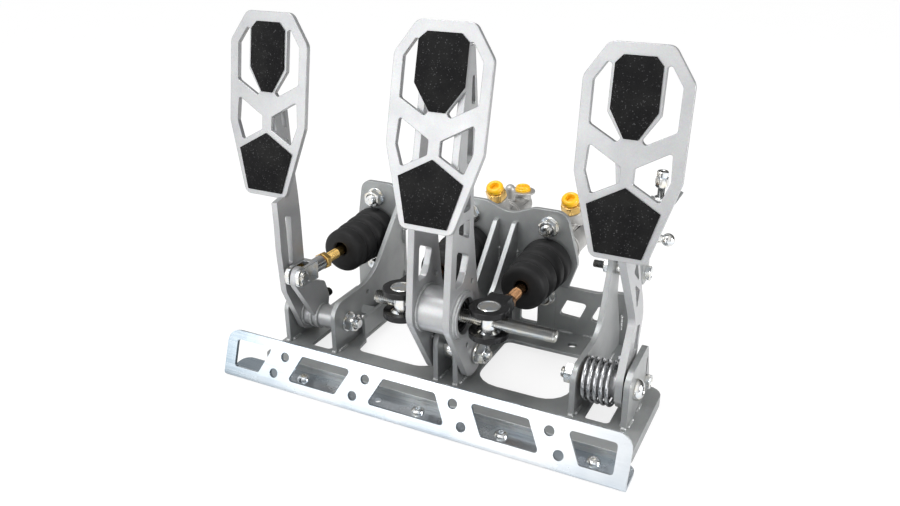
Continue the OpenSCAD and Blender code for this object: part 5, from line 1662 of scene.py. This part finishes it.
@dataclass
class Studio:
    """Floor, light and camera."""

    eye: Point = (236.7, -425.5, 337.35)
    right: Point = (0.893696, 0.448612, -0.007411)
    up: Point = (-0.175331, 0.364392, 0.914592)
    ahead: Point = (-0.412998, 0.816067, -0.404311)
    focal_px: float = 847.07
    width_px: float = 900.0
    sensor: float = 36.0
    bright_side: Point = (-0.42, -0.72, 0.55)
    dim_end: float = -0.55
    bright_end: float = 0.95
    dim_level: float = 0.1
    rise: float = 1.12
    seen_level: float = 1.05
    floor_half: float = 12.0
    floor_glow: float = 1.12
    glow_share: float = 0.72
    white: Point = (1.0, 1.0, 1.0)
    boxes: tuple[tuple, ...] = (("front_box", (-420, -820, 330), 620, 2.4, (20, 20, 150)),
                                ("top_box", (-200, -100, 900), 420, 3.5, (0, 60, 90)),
                                ("right_box", (950, 90, 320), 420, 6.0, (0, 60, 80)))

    def camera(self) -> None:
        """Sets the camera where the photograph's was."""
        data = bpy.data.cameras.new("camera")
        set_all(data, sensor_width=self.sensor, lens=self.focal_px / self.width_px * self.sensor,
                clip_start=0.01, clip_end=50.0)
        camera = linked("camera", data)
        turn = Matrix((self.right, self.up, tuple(-c for c in self.ahead))).transposed().to_4x4()
        camera.matrix_world = Matrix.Translation(Vector(self.eye) * MM) @ turn
        bpy.context.scene.camera = camera

    def lamp(self, name: str, place: Point, size: float, power: float, target: Point) -> None:
        """Adds one soft box.

        Args:
            name: Its name.
            place: Where it hangs, in millimetres.
            size: Its side in millimetres.
            power: Its power in watts.
            target: The point that it faces.
        """
        data = bpy.data.lights.new(name, "AREA")
        set_all(data, size=size * MM, energy=power)
        aim = (Vector(target) - Vector(place)).to_track_quat("-Z", "Y").to_matrix().to_4x4()
        linked(name, data).matrix_world = Matrix.Translation(Vector(place) * MM) @ aim

    def floor(self) -> None:
        """Lays the pale floor, which the lens sees as nearly white."""
        bm = bmesh.new()
        bmesh.ops.create_grid(bm, x_segments=2, y_segments=2, size=self.floor_half)
        mesh = to_mesh(bm, "floor", smooth=False)
        floor = linked("floor", mesh)
        s = Shader("floor_finish")
        tone = s.mix(s.noise(60.0, 3.0).step(0.3, 0.7), (0.86, 0.86, 0.86), (0.84, 0.84, 0.84))
        card = s.node("ShaderNodeBsdfPrincipled", {"Base Color": tone, "Roughness": 0.7, "Specular IOR Level": 0.1})
        glow = s.node("ShaderNodeEmission", {"Color": self.white, "Strength": self.floor_glow})
        seen = s.node("ShaderNodeLightPath", out="Is Camera Ray") * self.glow_share
        s.node("ShaderNodeOutputMaterial", {"Surface": s.node("ShaderNodeMixShader", {0: seen, 1: card, 2: glow})})
        mesh.materials.append(s.material)

    def sky(self) -> None:
        """Makes the surround: white to the lens, and for the light a bright side and a dim side."""
        world = bpy.data.worlds.new("studio")
        bpy.context.scene.world = world
        world.use_nodes = True
        world.node_tree.nodes.clear()
        g = Graph(world.node_tree)
        way = g.node("ShaderNodeVectorMath", {0: g.node("ShaderNodeTexCoord", out="Generated"),
                                              1: tuple(Vector(self.bright_side).normalized())},
                     "Value", operation="DOT_PRODUCT")
        level = way.step(self.dim_end, self.bright_end) * self.rise + self.dim_level
        light, pale = (g.node("ShaderNodeBackground", {"Color": self.white, "Strength": strength})
                       for strength in (level, self.seen_level))
        seen = g.node("ShaderNodeLightPath", out="Is Camera Ray")
        g.node("ShaderNodeOutputWorld", {"Surface": g.node("ShaderNodeMixShader", {0: seen, 1: light, 2: pale})})

    def build(self) -> None:
        """Sets up the studio."""
        bpy.context.scene.view_settings.view_transform = "Standard"
        self.floor()
        self.sky()
        for box in self.boxes:
            self.lamp(*box)
        self.camera()


def main() -> None:
    """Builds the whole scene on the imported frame."""
    logging.basicConfig(level=logging.INFO, format="%(name)s %(message)s", stream=sys.stdout)
    shop = Workshop(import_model(), Recipes())
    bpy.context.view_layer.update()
    Studio().build()
    clutch_x, left_x, right_x = CYLINDER_XS
    # The brake rods' jam nuts are black as painted shade: the nuts sit dark and hidden behind the clevises.
    rod = (17.0, 29.5, 10.0, COPPER, BLACK)
    works = [
        PlateWork(shop), BentArm(shop, **CLUTCH_ARM), BentArm(shop, **THROTTLE_ARM),
        Boot(shop, "clutch_boot", "clutch_plunger", clutch_x, 3.09, 5.35),
        Boot(shop, "brake_boot_left", "brake_plunger_left", left_x, 1.92),
        Boot(shop, "brake_boot_right", "brake_plunger_right", right_x, 1.92),
        ReturnSpring(shop), Fasteners(shop), StopAndCable(shop),
        PushRod(shop, "clutch_push_rod", CLUTCH_JOINT, 19.0, 31.0, 12.0, GOLD, GOLD),
        PushRod(shop, "brake_push_rod_left", (left_x, BAR_Y, BAR_Z), *rod),
        PushRod(shop, "brake_push_rod_right", (right_x, BAR_Y, BAR_Z), *rod),
        BalanceGear(shop), ClevisPin(shop), PortFittings(shop)]
    works += [Grips(shop, pedal + "_grips", i + 1) for i, pedal in enumerate(("clutch", "brake", "throttle"))]
    for work in works + [Welds(shop)]:
        work.build()
    LOG.info("%d pieces", len(shop.made))


if __name__ == "__main__":
    main()
